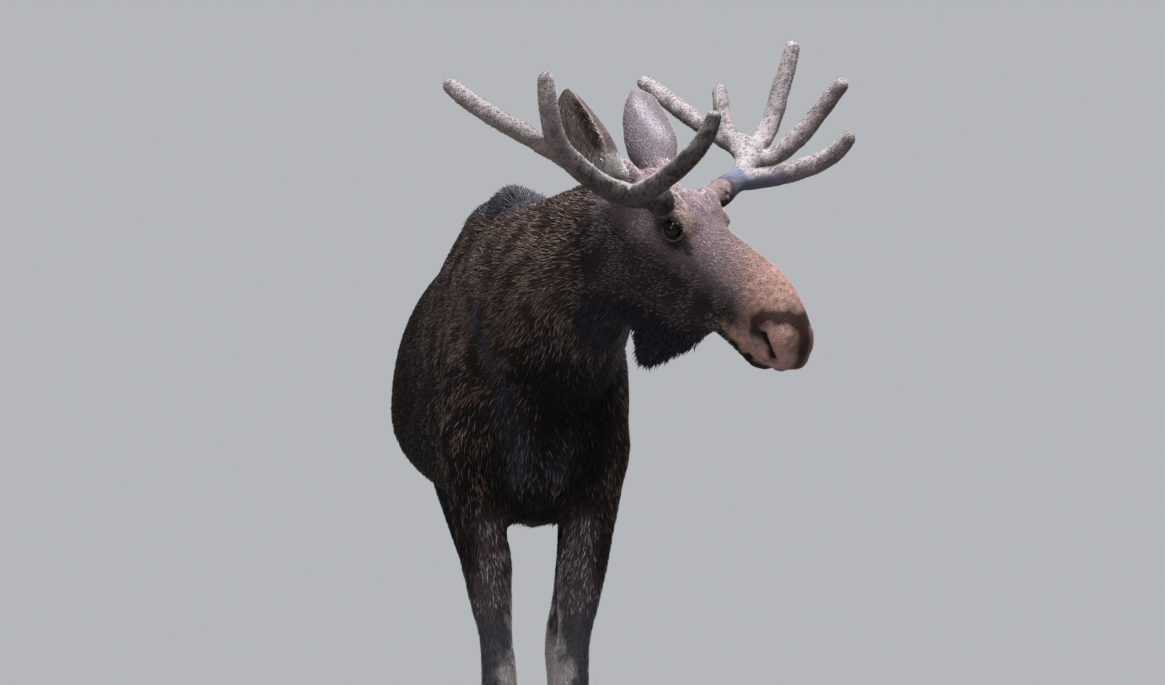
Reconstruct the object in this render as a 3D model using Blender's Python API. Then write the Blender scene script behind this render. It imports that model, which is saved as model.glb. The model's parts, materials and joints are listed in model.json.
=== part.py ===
"""A bull moose in velvet, life size, standing square with its head turned to its left.

The flesh is modelled whole: closed lofts and ellipsoids for trunk, neck, head and legs are fused by a
voxel remesh, smoothed, thinned, and then parted into named nodes by thin cuts. The antlers are made the
same way from tapered tubes. Ears, beard, tail, eyes, hooves and dewclaws are solids of their own, seated
against the flesh with a small gap.

Metres, +Z up. The moose faces -Y, so its left side is +X. The flesh is worked out with the forefeet
below the origin, and everything is moved at the end so that the middle of its box stands there.
"""

import math

import bmesh
import bpy
import numpy as np
from mathutils import Matrix, Vector

# ---------------------------------------------------------------- driving dimensions, in metres
GAP = 0.0004  # the gap that parts two neighbouring nodes
FLESH_VOXEL = 0.011
ANTLER_VOXEL = 0.005
FIRST_TRIANGLES = 7200  # of the flesh, before the body is thinned further and the head is not
FLESH_TRIANGLES = 3600
ANTLER_TRIANGLES = 84  # for each branch

# Where the point between the eyes lies, and how the face is aimed.
HEAD_AT = np.array([0.346, -0.612, 1.728])
HEAD_YAW = math.radians(48.6)  # from straight ahead towards the moose's left
HEAD_PITCH = math.radians(24)  # nose down
HEAD_ROLL = math.radians(3.4)  # left side of the face up
CM = 0.01

# ---------------------------------------------------------------- colours
COAT = (0.045, 0.028, 0.022)
FACE = (0.13, 0.085, 0.07)
SHANK = (0.10, 0.08, 0.07)
VELVET = (0.34, 0.29, 0.27)
HORN = (0.03, 0.026, 0.024)
EYE = (0.012, 0.008, 0.006)

# ---------------------------------------------------------------- the body's forms, in metres
# Trunk: place along Y, top, bottom, height of the widest point, half width, lean of the crest, and how
# far the spine bends aside.
TRUNK = [
    (-0.20, 1.48, 1.14, 1.30, 0.10, 0.0, 0.0),
    (-0.12, 1.64, 1.04, 1.32, 0.175, 0.0, 0.0),
    (0.00, 1.79, 1.00, 1.34, 0.215, -0.02, 0.0),
    (0.15, 1.878, 1.00, 1.35, 0.236, -0.030, -0.002),
    (0.30, 1.866, 1.01, 1.33, 0.266, -0.024, -0.008),
    (0.50, 1.800, 1.025, 1.30, 0.296, -0.006, -0.020),
    (0.70, 1.762, 1.035, 1.28, 0.320, 0.0, -0.028),
    (0.90, 1.748, 1.060, 1.32, 0.315, 0.0, -0.026),
    (1.10, 1.752, 1.110, 1.38, 0.288, 0.0, -0.015),
    (1.30, 1.745, 1.170, 1.42, 0.250, 0.0, 0.0),
    (1.48, 1.690, 1.220, 1.44, 0.195, 0.0, 0.010),
    (1.61, 1.590, 1.290, 1.43, 0.110, 0.0, 0.012),
]
# Neck: centre X, Y, Z, half height and half width, square to the path.
NECK = [
    (-0.010, 0.220, 1.460, 0.340, 0.200),
    (0.006, 0.020, 1.525, 0.320, 0.215),
    (0.040, -0.150, 1.590, 0.282, 0.206),
    (0.093, -0.290, 1.655, 0.218, 0.172),
    (0.155, -0.405, 1.712, 0.185, 0.126),
    (0.225, -0.500, 1.762, 0.162, 0.108),
]
# Foreleg, on the left: height, X, Y, half width, half depth, and how far both forelegs stand aside.
FORELEG = [
    (1.300, 0.165, 0.060, 0.075, 0.140, 0.0),
    (1.120, 0.158, 0.060, 0.078, 0.125, 0.0),
    (1.000, 0.140, 0.045, 0.073, 0.102, 0.0),
    (0.900, 0.126, 0.030, 0.067, 0.082, 0.0),
    (0.800, 0.114, 0.020, 0.057, 0.067, 0.0),
    (0.700, 0.101, 0.010, 0.045, 0.056, 0.0),
    (0.630, 0.095, 0.003, 0.047, 0.058, 0.0),
    (0.570, 0.093, -0.003, 0.049, 0.056, 0.0),
    (0.510, 0.092, 0.004, 0.042, 0.047, 0.0),
    (0.440, 0.091, 0.012, 0.035, 0.041, 0.0),
    (0.300, 0.091, 0.015, 0.032, 0.038, 0.0),
    (0.235, 0.091, 0.012, 0.037, 0.044, 0.0),
    (0.190, 0.091, 0.008, 0.042, 0.049, 0.0),
    (0.150, 0.091, 0.000, 0.038, 0.043, 0.0),
    (0.110, 0.091, -0.014, 0.043, 0.050, 0.0),
    (0.020, 0.091, -0.026, 0.044, 0.052, 0.0),
]
# Hind leg, the same columns.
HINDLEG = [
    (1.550, 0.125, 1.340, 0.100, 0.190, 0.010),
    (1.350, 0.160, 1.310, 0.106, 0.235, 0.018),
    (1.200, 0.170, 1.275, 0.098, 0.215, 0.026),
    (1.050, 0.163, 1.250, 0.083, 0.172, 0.040),
    (0.950, 0.150, 1.268, 0.067, 0.127, 0.047),
    (0.850, 0.130, 1.308, 0.054, 0.090, 0.050),
    (0.760, 0.112, 1.352, 0.043, 0.068, 0.050),
    (0.680, 0.095, 1.383, 0.040, 0.064, 0.050),
    (0.620, 0.090, 1.385, 0.040, 0.058, 0.050),
    (0.540, 0.089, 1.371, 0.034, 0.046, 0.050),
    (0.400, 0.090, 1.350, 0.030, 0.038, 0.050),
    (0.280, 0.091, 1.335, 0.031, 0.039, 0.050),
    (0.205, 0.092, 1.325, 0.038, 0.047, 0.050),
    (0.160, 0.092, 1.312, 0.035, 0.041, 0.050),
    (0.110, 0.092, 1.296, 0.042, 0.049, 0.050),
    (0.020, 0.092, 1.284, 0.042, 0.050, 0.050),
]
# Muscles and bones that stand out: centre and radii, on the left or in the middle.
BODY_BUMPS = [
    ((0.150, 0.060, 1.330), (0.100, 0.190, 0.290)),  # shoulder blade and upper arm
    ((0.170, 0.020, 1.220), (0.080, 0.140, 0.170)),  # point of the shoulder
    ((0.000, -0.110, 1.220), (0.120, 0.140, 0.190)),  # breast
    ((-0.045, 0.165, 1.795), (0.048, 0.190, 0.100)),  # the hair of the hump
    ((0.145, 1.130, 1.600), (0.080, 0.120, 0.095)),  # point of the hip
    ((0.090, 1.540, 1.480), (0.080, 0.100, 0.130)),  # point of the buttock
]

# Feet: X and Y on the left, how far the pair stands aside, and scale.
FEET = {"fore": (0.091, -0.022, 0.0, 1.0), "hind": (0.092, 1.288, 0.050, 0.95)}
CORONET = 0.078  # height of the hoof's upper edge at the middle of the foot
CORONET_SLOPE = 0.42  # it drops towards the heel

# ---------------------------------------------------------------- the head's forms, in centimetres
# Skull and muzzle: place along the face, top, bottom, height of the widest point, half width.
SKULL = [
    (-22.0, 9.5, -12.0, -1.0, 8.0),
    (-16.6, 13.3, -15.0, -1.0, 8.8),
    (-10.0, 12.6, -17.0, 0.0, 9.2),
    (-4.0, 11.4, -17.0, 1.5, 9.3),
    (0.0, 10.4, -16.0, 2.0, 9.2),
    (6.0, 8.8, -15.2, 1.0, 8.0),
    (12.0, 7.8, -14.4, -1.5, 7.0),
    (20.0, 6.8, -12.8, -3.5, 6.4),
    (27.0, 5.6, -13.0, -5.0, 6.4),
    (33.5, 3.3, -14.8, -7.0, 6.8),
    (38.0, 0.0, -16.1, -9.0, 7.0),
    (41.5, -4.0, -16.3, -10.5, 5.9),
    (43.8, -8.0, -15.4, -11.6, 3.8),
    (44.6, -11.2, -12.4, -11.8, 0.4),
]
# Lower jaw, the same columns.
JAW = [
    (-11.0, -8.0, -18.6, -13.0, 6.0),
    (-4.0, -8.0, -19.3, -14.0, 6.8),
    (4.0, -8.0, -18.2, -13.0, 6.0),
    (12.0, -8.0, -17.3, -13.0, 5.0),
    (20.0, -9.0, -17.3, -14.0, 4.4),
    (27.0, -12.0, -18.9, -15.5, 4.3),
    (32.0, -14.0, -20.2, -17.0, 4.0),
    (35.5, -15.5, -19.6, -17.6, 2.8),
    (37.2, -17.0, -18.4, -17.7, 0.8),
]
# Centre and radii, on the left side.
HEAD_BUMPS = [
    ((0.4, 6.4, 4.4), (6.0, 2.9, 5.0)),  # rim of the eye socket
    ((0.4, 6.6, 7.6), (6.4, 3.1, 2.6)),  # brow
    ((-3.2, 7.8, 9.2), (4.4, 4.6, 3.8)),  # foot of the antler
    ((-4.0, 5.4, -8.0), (9.0, 3.4, 8.0)),  # cheek muscle
    ((38.4, 4.2, -9.6), (4.9, 3.1, 5.2)),  # nostril's wing
    ((-19.4, 7.6, 10.4), (4.2, 3.4, 4.0)),  # root of the ear
]
# Beard: height, place along the face, half length, half thickness.
BEARD = [
    (-14.5, 2.6, 14.9, 3.0),
    (-20.0, 2.3, 13.2, 3.6),
    (-25.3, 0.9, 10.5, 3.2),
    (-30.0, 0.1, 6.4, 2.4),
    (-33.0, -0.6, 3.6, 1.4),
    (-34.4, -0.9, 1.2, 0.5),
]
EYE_CENTRE = (1.1, 8.3, 4.6)
EYE_RADIUS = 2.4

# Ears: root, tip, the way the opening looks, and half widths from root to tip.
EARS = {
    "left": ((-20.5, 7.6, 10.6), (-41.1, 16.0, 24.2), (-0.11, 0.75, -0.65)),
    "right": ((-19.5, -7.6, 10.9), (-30.2, -26.0, 30.0), (0.27, -0.72, -0.64)),
}
EAR_WIDTHS = [(0.0, 3.5), (0.15, 4.9), (0.4, 6.7), (0.6, 6.5), (0.8, 4.7), (0.93, 2.4), (1.0, 0.5)]
EAR_WRAP = [(0.0, 150), (0.25, 125), (0.5, 95), (0.8, 75), (1.0, 60)]  # half the bend, in degrees
EAR_THICKNESS = 0.8
EAR_BOW = 1.2  # how far the middle of the ear stands back from the line root to tip

# Antlers: each branch is a path of centres and radii. The first point of a tine lies inside the beam.
ANTLERS = {
    "right": {
        "beam": [
            (-3.2, -7.4, 8.6, 3.0),
            (-3.2, -12.2, 10.6, 3.5),
            (-3.4, -16.0, 11.5, 3.2),
            (-3.2, -24.0, 12.3, 3.1),
            (-5.6, -29.0, 13.0, 3.0),
            (-8.3, -34.0, 14.9, 2.9),
            (-10.7, -39.0, 17.6, 2.9),
            (-13.1, -43.0, 20.5, 2.8),
        ],
        "tine_front": [
            (-3.4, -20.0, 12.0, 2.8),
            (0.0, -24.6, 14.2, 2.9),
            (4.8, -27.0, 18.4, 2.8),
            (9.9, -28.2, 24.1, 2.7),
            (14.0, -28.6, 30.5, 2.6),
            (16.1, -28.0, 36.6, 2.4),
            (16.2, -27.2, 41.4, 2.1),
        ],
        "tine_middle": [
            (-11.5, -40.2, 18.4, 2.6),
            (-14.2, -45.6, 23.4, 2.7),
            (-15.6, -48.0, 27.6, 2.6),
            (-18.0, -49.5, 33.8, 2.5),
            (-19.6, -50.0, 37.4, 2.1),
        ],
        "tine_rear": [
            (-11.5, -40.5, 18.4, 2.6),
            (-17.6, -46.0, 20.8, 2.6),
            (-23.8, -49.0, 22.0, 2.6),
            (-33.7, -51.0, 22.9, 2.5),
            (-41.5, -51.8, 24.0, 2.4),
            (-45.6, -52.0, 24.8, 2.1),
        ],
    },
    "left": {
        "beam": [
            (-3.2, 7.4, 8.6, 3.0),
            (-3.4, 12.4, 11.2, 3.6),
            (-3.6, 16.0, 13.4, 3.1),
            (-3.6, 20.5, 14.8, 3.0),
        ],
        "tine_front": [
            (-3.6, 18.0, 14.2, 2.8),
            (-1.6, 23.4, 15.6, 2.8),
            (2.4, 26.8, 18.2, 2.7),
            (6.7, 29.2, 21.7, 2.7),
            (12.2, 31.8, 27.5, 2.5),
            (14.4, 32.4, 31.6, 2.3),
            (15.2, 32.5, 33.4, 2.1),
        ],
        "palm": [
            (-3.6, 18.6, 14.6, 2.8),
            (-6.2, 23.5, 16.0, 3.0),
            (-9.0, 28.0, 17.3, 3.4),
            (-12.5, 31.5, 18.0, 3.8),
            (-17.0, 33.0, 18.4, 3.2),
        ],
        "tine_outer": [
            (-8.6, 29.0, 17.0, 2.6),
            (-6.6, 34.0, 19.2, 2.6),
            (-4.2, 38.0, 24.3, 2.6),
            (-2.8, 42.0, 31.7, 2.5),
            (-1.5, 44.2, 38.2, 2.3),
            (-0.4, 44.8, 41.2, 2.1),
        ],
        "tine_upper": [
            (-11.6, 32.0, 17.8, 2.6),
            (-13.4, 37.4, 20.8, 2.7),
            (-15.6, 42.0, 25.8, 2.6),
            (-18.6, 46.0, 32.5, 2.5),
            (-20.8, 48.8, 39.6, 2.3),
            (-21.6, 49.6, 42.6, 2.1),
        ],
        "tine_inner": [
            (-14.0, 31.8, 17.8, 2.5),
            (-20.6, 33.6, 18.8, 2.5),
            (-26.0, 35.6, 22.0, 2.3),
            (-30.6, 37.6, 26.8, 2.1),
        ],
        "tine_rear": [
            (-15.0, 32.5, 17.8, 2.7),
            (-24.0, 34.2, 17.6, 2.6),
            (-32.0, 36.0, 17.3, 2.5),
            (-42.0, 38.6, 17.4, 2.5),
            (-52.0, 41.2, 17.7, 2.4),
            (-57.6, 42.0, 18.0, 2.1),
        ],
    },
}
# Where each antler is parted: how far along the branch, from 0 to 1, and the cut's half width in metres.
ANTLER_CUTS = {
    "right": {"tine_front": (0.22, 0.040), "tine_middle": (0.48, 0.036), "tine_rear": (0.26, 0.040)},
    "left": {
        "palm": (0.42, 0.045),
        "tine_front": (0.34, 0.040),
        "tine_outer": (0.36, 0.040),
        "tine_upper": (0.30, 0.040),
        "tine_inner": (0.76, 0.034),
        "tine_rear": (0.30, 0.040),
    },
}


# ---------------------------------------------------------------- frames and curves
def head_axes():
    """The head's forward, left and up directions, as rows."""
    level = np.array([math.sin(HEAD_YAW), -math.cos(HEAD_YAW), 0.0])
    side = np.array([math.cos(HEAD_YAW), math.sin(HEAD_YAW), 0.0])
    sky = np.array([0.0, 0.0, 1.0])
    forward = level * math.cos(HEAD_PITCH) - sky * math.sin(HEAD_PITCH)
    crown = sky * math.cos(HEAD_PITCH) + level * math.sin(HEAD_PITCH)
    left = side * math.cos(HEAD_ROLL) + crown * math.sin(HEAD_ROLL)
    up = crown * math.cos(HEAD_ROLL) - side * math.sin(HEAD_ROLL)
    return np.stack([forward, left, up])


HEAD_AXES = head_axes()


def on_head(points):
    """World places of points given in head centimetres: forward, left, up from between the eyes."""
    return HEAD_AT + np.asarray(points, float) * CM @ HEAD_AXES


def unit(v):
    return v / np.linalg.norm(v, axis=-1, keepdims=True)


def read(table, at):
    """The table's columns as smooth curves of its first column, read at these values."""
    table = np.asarray(table, float)
    knots, values = table[:, 0], table[:, 1:]
    slopes = np.gradient(values, knots, axis=0)
    i = np.clip(np.searchsorted(knots, at, side="right") - 1, 0, len(knots) - 2)
    width = (knots[i + 1] - knots[i])[:, None]
    t = (at - knots[i])[:, None] / width
    start = (1 + 2 * t) * (1 - t) ** 2 * values[i] + t * (1 - t) ** 2 * width * slopes[i]
    end = t**2 * (3 - 2 * t) * values[i + 1] + t**2 * (t - 1) * width * slopes[i + 1]
    return start + end


def stations(table, count):
    """The table read at evenly spaced values of its first column, that column kept."""
    table = sorted(table)
    at = np.linspace(table[0][0], table[-1][0], count)
    return np.column_stack([at, read(table, at)])


def along(points, count):
    """A smooth path through the points, read evenly by length; further columns follow."""
    points = np.asarray(points, float)
    steps = np.linalg.norm(np.diff(points[:, :3], axis=0), axis=1)
    length = np.concatenate([[0], np.cumsum(steps)])
    return read(np.column_stack([length, points]), np.linspace(0, length[-1], count))


# ---------------------------------------------------------------- closed shapes
def closed_grid(rings):
    """Rings of points, joined by quads and closed by a fan of triangles at each end."""
    n, m = rings.shape[:2]
    i, j = np.meshgrid(np.arange(n - 1), np.arange(m), indexing="ij")
    k = (j + 1) % m
    quads = np.stack([i * m + j, i * m + k, (i + 1) * m + k, (i + 1) * m + j], -1).reshape(-1, 4)
    j = np.arange(m)
    k = (j + 1) % m
    first = np.stack([np.full(m, n * m), k, j], -1)
    last = np.stack([np.full(m, n * m + 1), (n - 1) * m + j, (n - 1) * m + k], -1)
    ends = [rings[0].mean(0), rings[-1].mean(0)]
    points = np.concatenate([rings.reshape(-1, 3), ends])
    return points, quads.tolist() + first.tolist() + last.tolist()


def closed_sheet(outer, inner):
    """Two grids of points, one inside the other, joined round their four borders."""
    n, m = outer.shape[:2]
    number = np.arange(n * m).reshape(n, m)

    def quads(a, b):
        return np.stack([a[:-1], a[1:], b[1:], b[:-1]], -1).reshape(-1, 4)

    front = [quads(number[i], number[i + 1]) for i in range(n - 1)]
    back = [quads(number[i + 1], number[i]) + n * m for i in range(n - 1)]
    rim = np.concatenate([number[0, :-1], number[:-1, -1], number[-1, :0:-1], number[::-1, 0]])
    rim = np.stack([rim[:-1], rim[:-1] + n * m, rim[1:] + n * m, rim[1:]], -1)
    faces = np.concatenate(front + back + [rim])
    return np.concatenate([outer.reshape(-1, 3), inner.reshape(-1, 3)]), faces.tolist()


def ovals(centre, side, up, down, count=28):
    """Rings of points round the centres: wide by side, reaching up and down by different amounts."""
    angle = np.linspace(0, 2 * math.pi, count, endpoint=False)[None, :, None]
    high, low = np.maximum(np.sin(angle), 0), np.maximum(-np.sin(angle), 0)
    around = side[:, None] * np.cos(angle) + up[:, None] * high + down[:, None] * low
    return centre[:, None] + around


def ball(centre, radii, count=16):
    """An ellipsoid with its axes along X, Y and Z."""
    turn = np.linspace(-math.pi / 2, math.pi / 2, count)[1:-1, None]
    angle = np.linspace(0, 2 * math.pi, 2 * count, endpoint=False)[None]
    x = np.cos(turn) * np.cos(angle)
    y = np.cos(turn) * np.sin(angle)
    z = np.sin(turn) + 0 * angle
    return closed_grid(np.stack([x, y, z], -1) * np.array(radii) + np.array(centre))


def tube(path, rings=24, count=16):
    """A tapered tube with a half-round end at each end; path columns are X, Y, Z and radius."""
    path = along(path, rings)
    centre, radius = path[:, :3], path[:, 3:]
    course = unit(np.gradient(centre, axis=0))
    side = unit(np.cross(course, [0.3, 0.2, 1.0]))
    up = np.cross(side, course)
    bend = np.radians([62, 30])[:, None]
    start = centre[:1] - course[:1] * radius[:1] * np.sin(bend)
    end = centre[-1:] + course[-1:] * radius[-1:] * np.sin(bend[::-1])
    centre = np.concatenate([start, centre, end])
    radius = np.concatenate([radius[:1] * np.cos(bend), radius, radius[-1:] * np.cos(bend[::-1])])
    side = np.concatenate([side[:1]] * 2 + [side] + [side[-1:]] * 2)
    up = np.concatenate([up[:1]] * 2 + [up] + [up[-1:]] * 2)
    return closed_grid(ovals(centre, side * radius, up * radius, -up * radius, count))


def trunk():
    y, top, bottom, wide, half, lean, bend = stations(TRUNK, 40).T
    nothing = 0 * y
    centre = np.stack([bend, y, wide], -1)
    side = np.stack([half, nothing, nothing], -1)
    up = np.stack([lean, nothing, top - wide], -1)
    down = np.stack([nothing, nothing, bottom - wide], -1)
    return closed_grid(ovals(centre, side, up, down, 40))


def neck():
    path = along(NECK, 24)
    centre = path[:, :3]
    course = unit(np.gradient(centre, axis=0))
    side = unit(np.cross(course, [0.0, 0.0, 1.0]))
    up = np.cross(side, course)
    height, width = path[:, 3:4], path[:, 4:5]
    return closed_grid(ovals(centre, side * width, up * height, -up * height, 36))


def leg(table, mirror):
    z, x, y, half, depth, aside = stations(table, 60)[::-1].T
    nothing = 0 * z
    centre = np.stack([x * mirror + aside, y, z], -1)
    side = np.stack([half, nothing, nothing], -1)
    back = np.stack([nothing, depth, nothing], -1)
    return closed_grid(ovals(centre, side, back, -back, 20))


def face_loft(table):
    x, top, bottom, wide, half = stations(table, 44).T
    nothing = 0 * x
    centre = np.stack([x, nothing, wide], -1)
    side = np.stack([nothing, half, nothing], -1)
    up = np.stack([nothing, nothing, top - wide], -1)
    down = np.stack([nothing, nothing, bottom - wide], -1)
    points, faces = closed_grid(ovals(centre, side, up, down, 32))
    return on_head(points), faces


def beard():
    z, x, length, thickness = stations(BEARD, 9).T
    nothing = 0 * z
    centre = np.stack([x, nothing, z], -1)
    side = np.stack([length, nothing, nothing], -1)
    flat = np.stack([nothing, thickness, nothing], -1)
    points, faces = closed_grid(ovals(centre, side, flat, -flat, 12))
    return on_head(points), faces


def ear(side):
    """A leaf bent round its length: an arc outside and the same arc, thinner, inside it."""
    root, tip, look = (np.array(v) for v in EARS[side])
    s = np.linspace(0, 1, 9)
    course = unit(tip - root)
    look = unit(look - course * (look @ course))
    across = np.cross(course, look)
    width = read(EAR_WIDTHS, s)
    wrap = np.radians(read(EAR_WRAP, s))
    radius = width / np.sin(np.minimum(wrap, math.pi / 2))
    spine = root + (tip - root) * s[:, None] - look * EAR_BOW * np.sin(math.pi * s[:, None])
    swing = np.linspace(-1, 1, 7)
    angle = wrap * swing
    thick = EAR_THICKNESS * (1 - 0.55 * np.abs(swing)) * np.minimum(1, 1.3 - s[:, None])

    def arc(r):
        out = np.sin(angle)[..., None] * across * r[..., None]
        out = out - look * (r * np.cos(angle))[..., None]
        return on_head(out + (spine + look * radius)[:, None])

    return closed_sheet(arc(radius + 0 * angle), arc(np.maximum(radius - thick, 0.3 * radius)))


def tail():
    path = [(0.012, 1.52, 1.66, 0.030), (0.012, 1.60, 1.625, 0.034)]
    path += [(0.012, 1.645, 1.55, 0.030), (0.012, 1.65, 1.485, 0.014)]
    return tube(path, 5, 8)


def claw(foot, mirror, across):
    """One of a hoof's two claws: a pointed oval on the ground, smaller at the slanting coronet."""
    x, y, aside, scale = foot
    share = np.array([0.0, 0.05, 0.45, 1.0])[:, None]  # of the height
    length = np.array([0.072, 0.075, 0.069, 0.054])[:, None] * scale
    width = np.array([0.024, 0.0265, 0.025, 0.022])[:, None] * scale
    back = np.array([-0.026, -0.026, -0.018, 0.0])[:, None] * scale
    angle = np.linspace(0, 2 * math.pi, 10, endpoint=False)
    point = np.maximum(-np.sin(angle), 0) ** 2  # 0 at the heel, 1 at the toe
    px = x * mirror + aside + across * scale * (0.0278 - 0.010 * point)
    px = px + width * np.cos(angle) * (1 - 0.3 * point)
    py = y + back + length * np.sin(angle)
    pz = share * (CORONET - GAP - CORONET_SLOPE * (py - y))
    return closed_grid(np.stack([px, py, pz], -1))


def dewclaw(foot, mirror, across):
    """One of the two small claws behind the pastern."""
    x = foot[0] * mirror + foot[2] + 0.020 * across
    y = foot[1]
    return tube([(x, y + 0.052, 0.165, 0.013), (x + 0.009 * across, y + 0.078, 0.118, 0.009)], 2, 5)


# ---------------------------------------------------------------- objects
def material(name, colour, roughness):
    found = bpy.data.materials.get(name)
    if found:
        return found
    new = bpy.data.materials.new(name)
    new.use_nodes = True
    shader = new.node_tree.nodes["Principled BSDF"]
    shader.inputs["Base Color"].default_value = (*colour, 1)
    shader.inputs["Roughness"].default_value = roughness
    shader.inputs["Metallic"].default_value = 0.0
    return new


def make(name, *shapes):
    """One object from closed shapes, each a pair of points and faces, turned to face outwards."""
    mesh = bpy.data.meshes.new(name)
    points, faces, base = [], [], 0
    for shape_points, shape_faces in shapes:
        points.append(shape_points)
        faces += [[base + index for index in face] for face in shape_faces]
        base += len(shape_points)
    mesh.from_pydata(np.concatenate(points).tolist(), [], faces)
    tidy(mesh)
    thing = bpy.data.objects.new(name, mesh)
    bpy.context.scene.collection.objects.link(thing)
    return thing


def tidy(mesh):
    """Merge doubles and turn every shell outwards."""
    work = bmesh.new()
    work.from_mesh(mesh)
    bmesh.ops.remove_doubles(work, verts=work.verts, dist=1e-6)
    bmesh.ops.recalc_face_normals(work, faces=work.faces)
    work.to_mesh(mesh)
    work.free()


def settle(thing):
    """Put what the modifiers make into the mesh, and drop them."""
    graph = bpy.context.evaluated_depsgraph_get()
    mesh = bpy.data.meshes.new_from_object(thing.evaluated_get(graph))
    thing.modifiers.clear()
    thing.data = mesh
    return thing


def places(mesh):
    points = np.empty(len(mesh.vertices) * 3)
    mesh.vertices.foreach_get("co", points)
    return points.reshape(-1, 3)


def place(mesh, points):
    mesh.vertices.foreach_set("co", points.ravel())
    mesh.update()


def fuse(thing, voxel, rounds):
    """One skin round everything, then smoothed without losing volume."""
    remesh = thing.modifiers.new("fuse", "REMESH")
    remesh.mode = "VOXEL"
    remesh.voxel_size = voxel
    remesh.adaptivity = 0
    mesh = settle(thing).data
    edges = np.empty(len(mesh.edges) * 2, int)
    mesh.edges.foreach_get("vertices", edges)
    a, b = edges.reshape(-1, 2).T
    points = places(mesh)
    total = len(points)
    degree = np.bincount(a, minlength=total) + np.bincount(b, minlength=total)
    for share in (0.55, -0.57) * rounds:
        near = np.empty_like(points)
        for axis in range(3):
            values = points[:, axis]
            near[:, axis] = np.bincount(a, values[b], total) + np.bincount(b, values[a], total)
        points = points + share * (near / degree[:, None] - points)
    place(mesh, points)
    return thing


def thin(thing, triangles, spare=None):
    """Collapse to a number of triangles; spare says which points are left as they are."""
    mesh = thing.data
    mesh.calc_loop_triangles()
    collapse = thing.modifiers.new("thin", "DECIMATE")
    collapse.ratio = triangles / len(mesh.loop_triangles)
    collapse.use_collapse_triangulate = True
    if spare is not None:
        group = thing.vertex_groups.new(name="thin")
        group.add(np.flatnonzero(~spare).tolist(), 1.0, "REPLACE")
        collapse.vertex_group = "thin"
    settle(thing)
    thing.vertex_groups.clear()
    return thing


def cut(thing, cutter, operation="DIFFERENCE"):
    """Boolean with the exact solver; the cutter is removed."""
    boolean = thing.modifiers.new("cut", "BOOLEAN")
    boolean.operation = operation
    boolean.solver = "EXACT"
    boolean.object = cutter
    cutter.hide_render = True
    cutter.display_type = "WIRE"
    settle(thing)
    bpy.data.objects.remove(cutter)
    return thing


def slab(centre, normal, half_wide, half_high):
    """A thin box square to the normal, as wide as the gap between two nodes."""
    normal = Vector(unit(np.array(normal, float)))
    turn = normal.to_track_quat("Z", "Y").to_matrix().to_4x4()
    mesh = bpy.data.meshes.new("slab")
    work = bmesh.new()
    bmesh.ops.create_cube(work, size=2)
    work.transform(Matrix.Diagonal((half_wide, half_high, GAP / 2, 1)))
    work.transform(Matrix.Translation(Vector(centre)) @ turn)
    work.to_mesh(mesh)
    work.free()
    thing = bpy.data.objects.new("slab", mesh)
    bpy.context.scene.collection.objects.link(thing)
    return thing


def swollen(thing, by):
    """A copy of the object with every point moved out along its normal."""
    copy = thing.copy()
    copy.data = thing.data.copy()
    bpy.context.scene.collection.objects.link(copy)
    normals = np.empty(len(copy.data.vertices) * 3)
    copy.data.vertices.foreach_get("normal", normals)
    place(copy.data, places(copy.data) + by * normals.reshape(-1, 3))
    return copy


def seat(thing, against):
    """Cut away what lies inside the other object, with a gap left between them."""
    return cut(thing, swollen(against, 1.5 * GAP))


def part_by(thing, names):
    """Separate the closed bodies of an object; each name goes to the body that reaches nearest its place."""
    work = bmesh.new()
    work.from_mesh(thing.data)
    left = set(work.verts)
    bodies = []
    while left:
        body, edge = set(), [left.pop()]
        while edge:
            vert = edge.pop()
            body.add(vert)
            for link in vert.link_edges:
                other = link.other_vert(vert)
                if other in left:
                    left.remove(other)
                    edge.append(other)
        bodies.append(body)
    made = {}
    for name, spot in names.items():
        body = min(bodies, key=lambda verts: min((vert.co - Vector(spot)).length for vert in verts))
        order = {vert: i for i, vert in enumerate(sorted(body, key=lambda v: v.index))}
        faces = sorted({face for vert in body for face in vert.link_faces}, key=lambda f: f.index)
        points = np.array([vert.co for vert in order])
        made[name] = make(name, (points, [[order[v] for v in face.verts] for face in faces]))
        bodies.remove(body)
    assert not bodies, f"{len(bodies)} bodies without a name"
    work.free()
    bpy.data.objects.remove(thing)
    return made


def dress(thing, name, colour, roughness):
    thing.data.materials.clear()
    thing.data.materials.append(material(name, colour, roughness))
    thing.data.shade_smooth()
    thing.data.set_sharp_from_angle(angle=math.radians(50))


# ---------------------------------------------------------------- the model
def build_flesh():
    """Trunk, neck, head and legs as one skin."""
    shapes = [trunk(), neck(), face_loft(SKULL), face_loft(JAW)]
    for mirror in (-1, 1):
        shapes += [leg(FORELEG, mirror), leg(HINDLEG, mirror)]
        for centre, radii in BODY_BUMPS:
            shapes.append(ball((mirror * centre[0] if centre[0] > 0.05 else centre[0], *centre[1:]), radii))
        for (x, y, z), radii in HEAD_BUMPS:
            points, faces = ball((x, mirror * y, z), radii)
            shapes.append((on_head(points), faces))
    flesh = thin(fuse(make("flesh", *shapes), FLESH_VOXEL, 7), FIRST_TRIANGLES)
    head = (places(flesh.data) - HEAD_AT) @ HEAD_AXES.T / CM
    return thin(flesh, FLESH_TRIANGLES, spare=(head[:, 0] > -17) & (head[:, 2] > -40))


def eye_ball(mirror, radius):
    x, y, z = EYE_CENTRE
    points, faces = ball((x, mirror * y, z), (radius,) * 3, 7)
    return make("eye", (on_head(points), faces))


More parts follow.
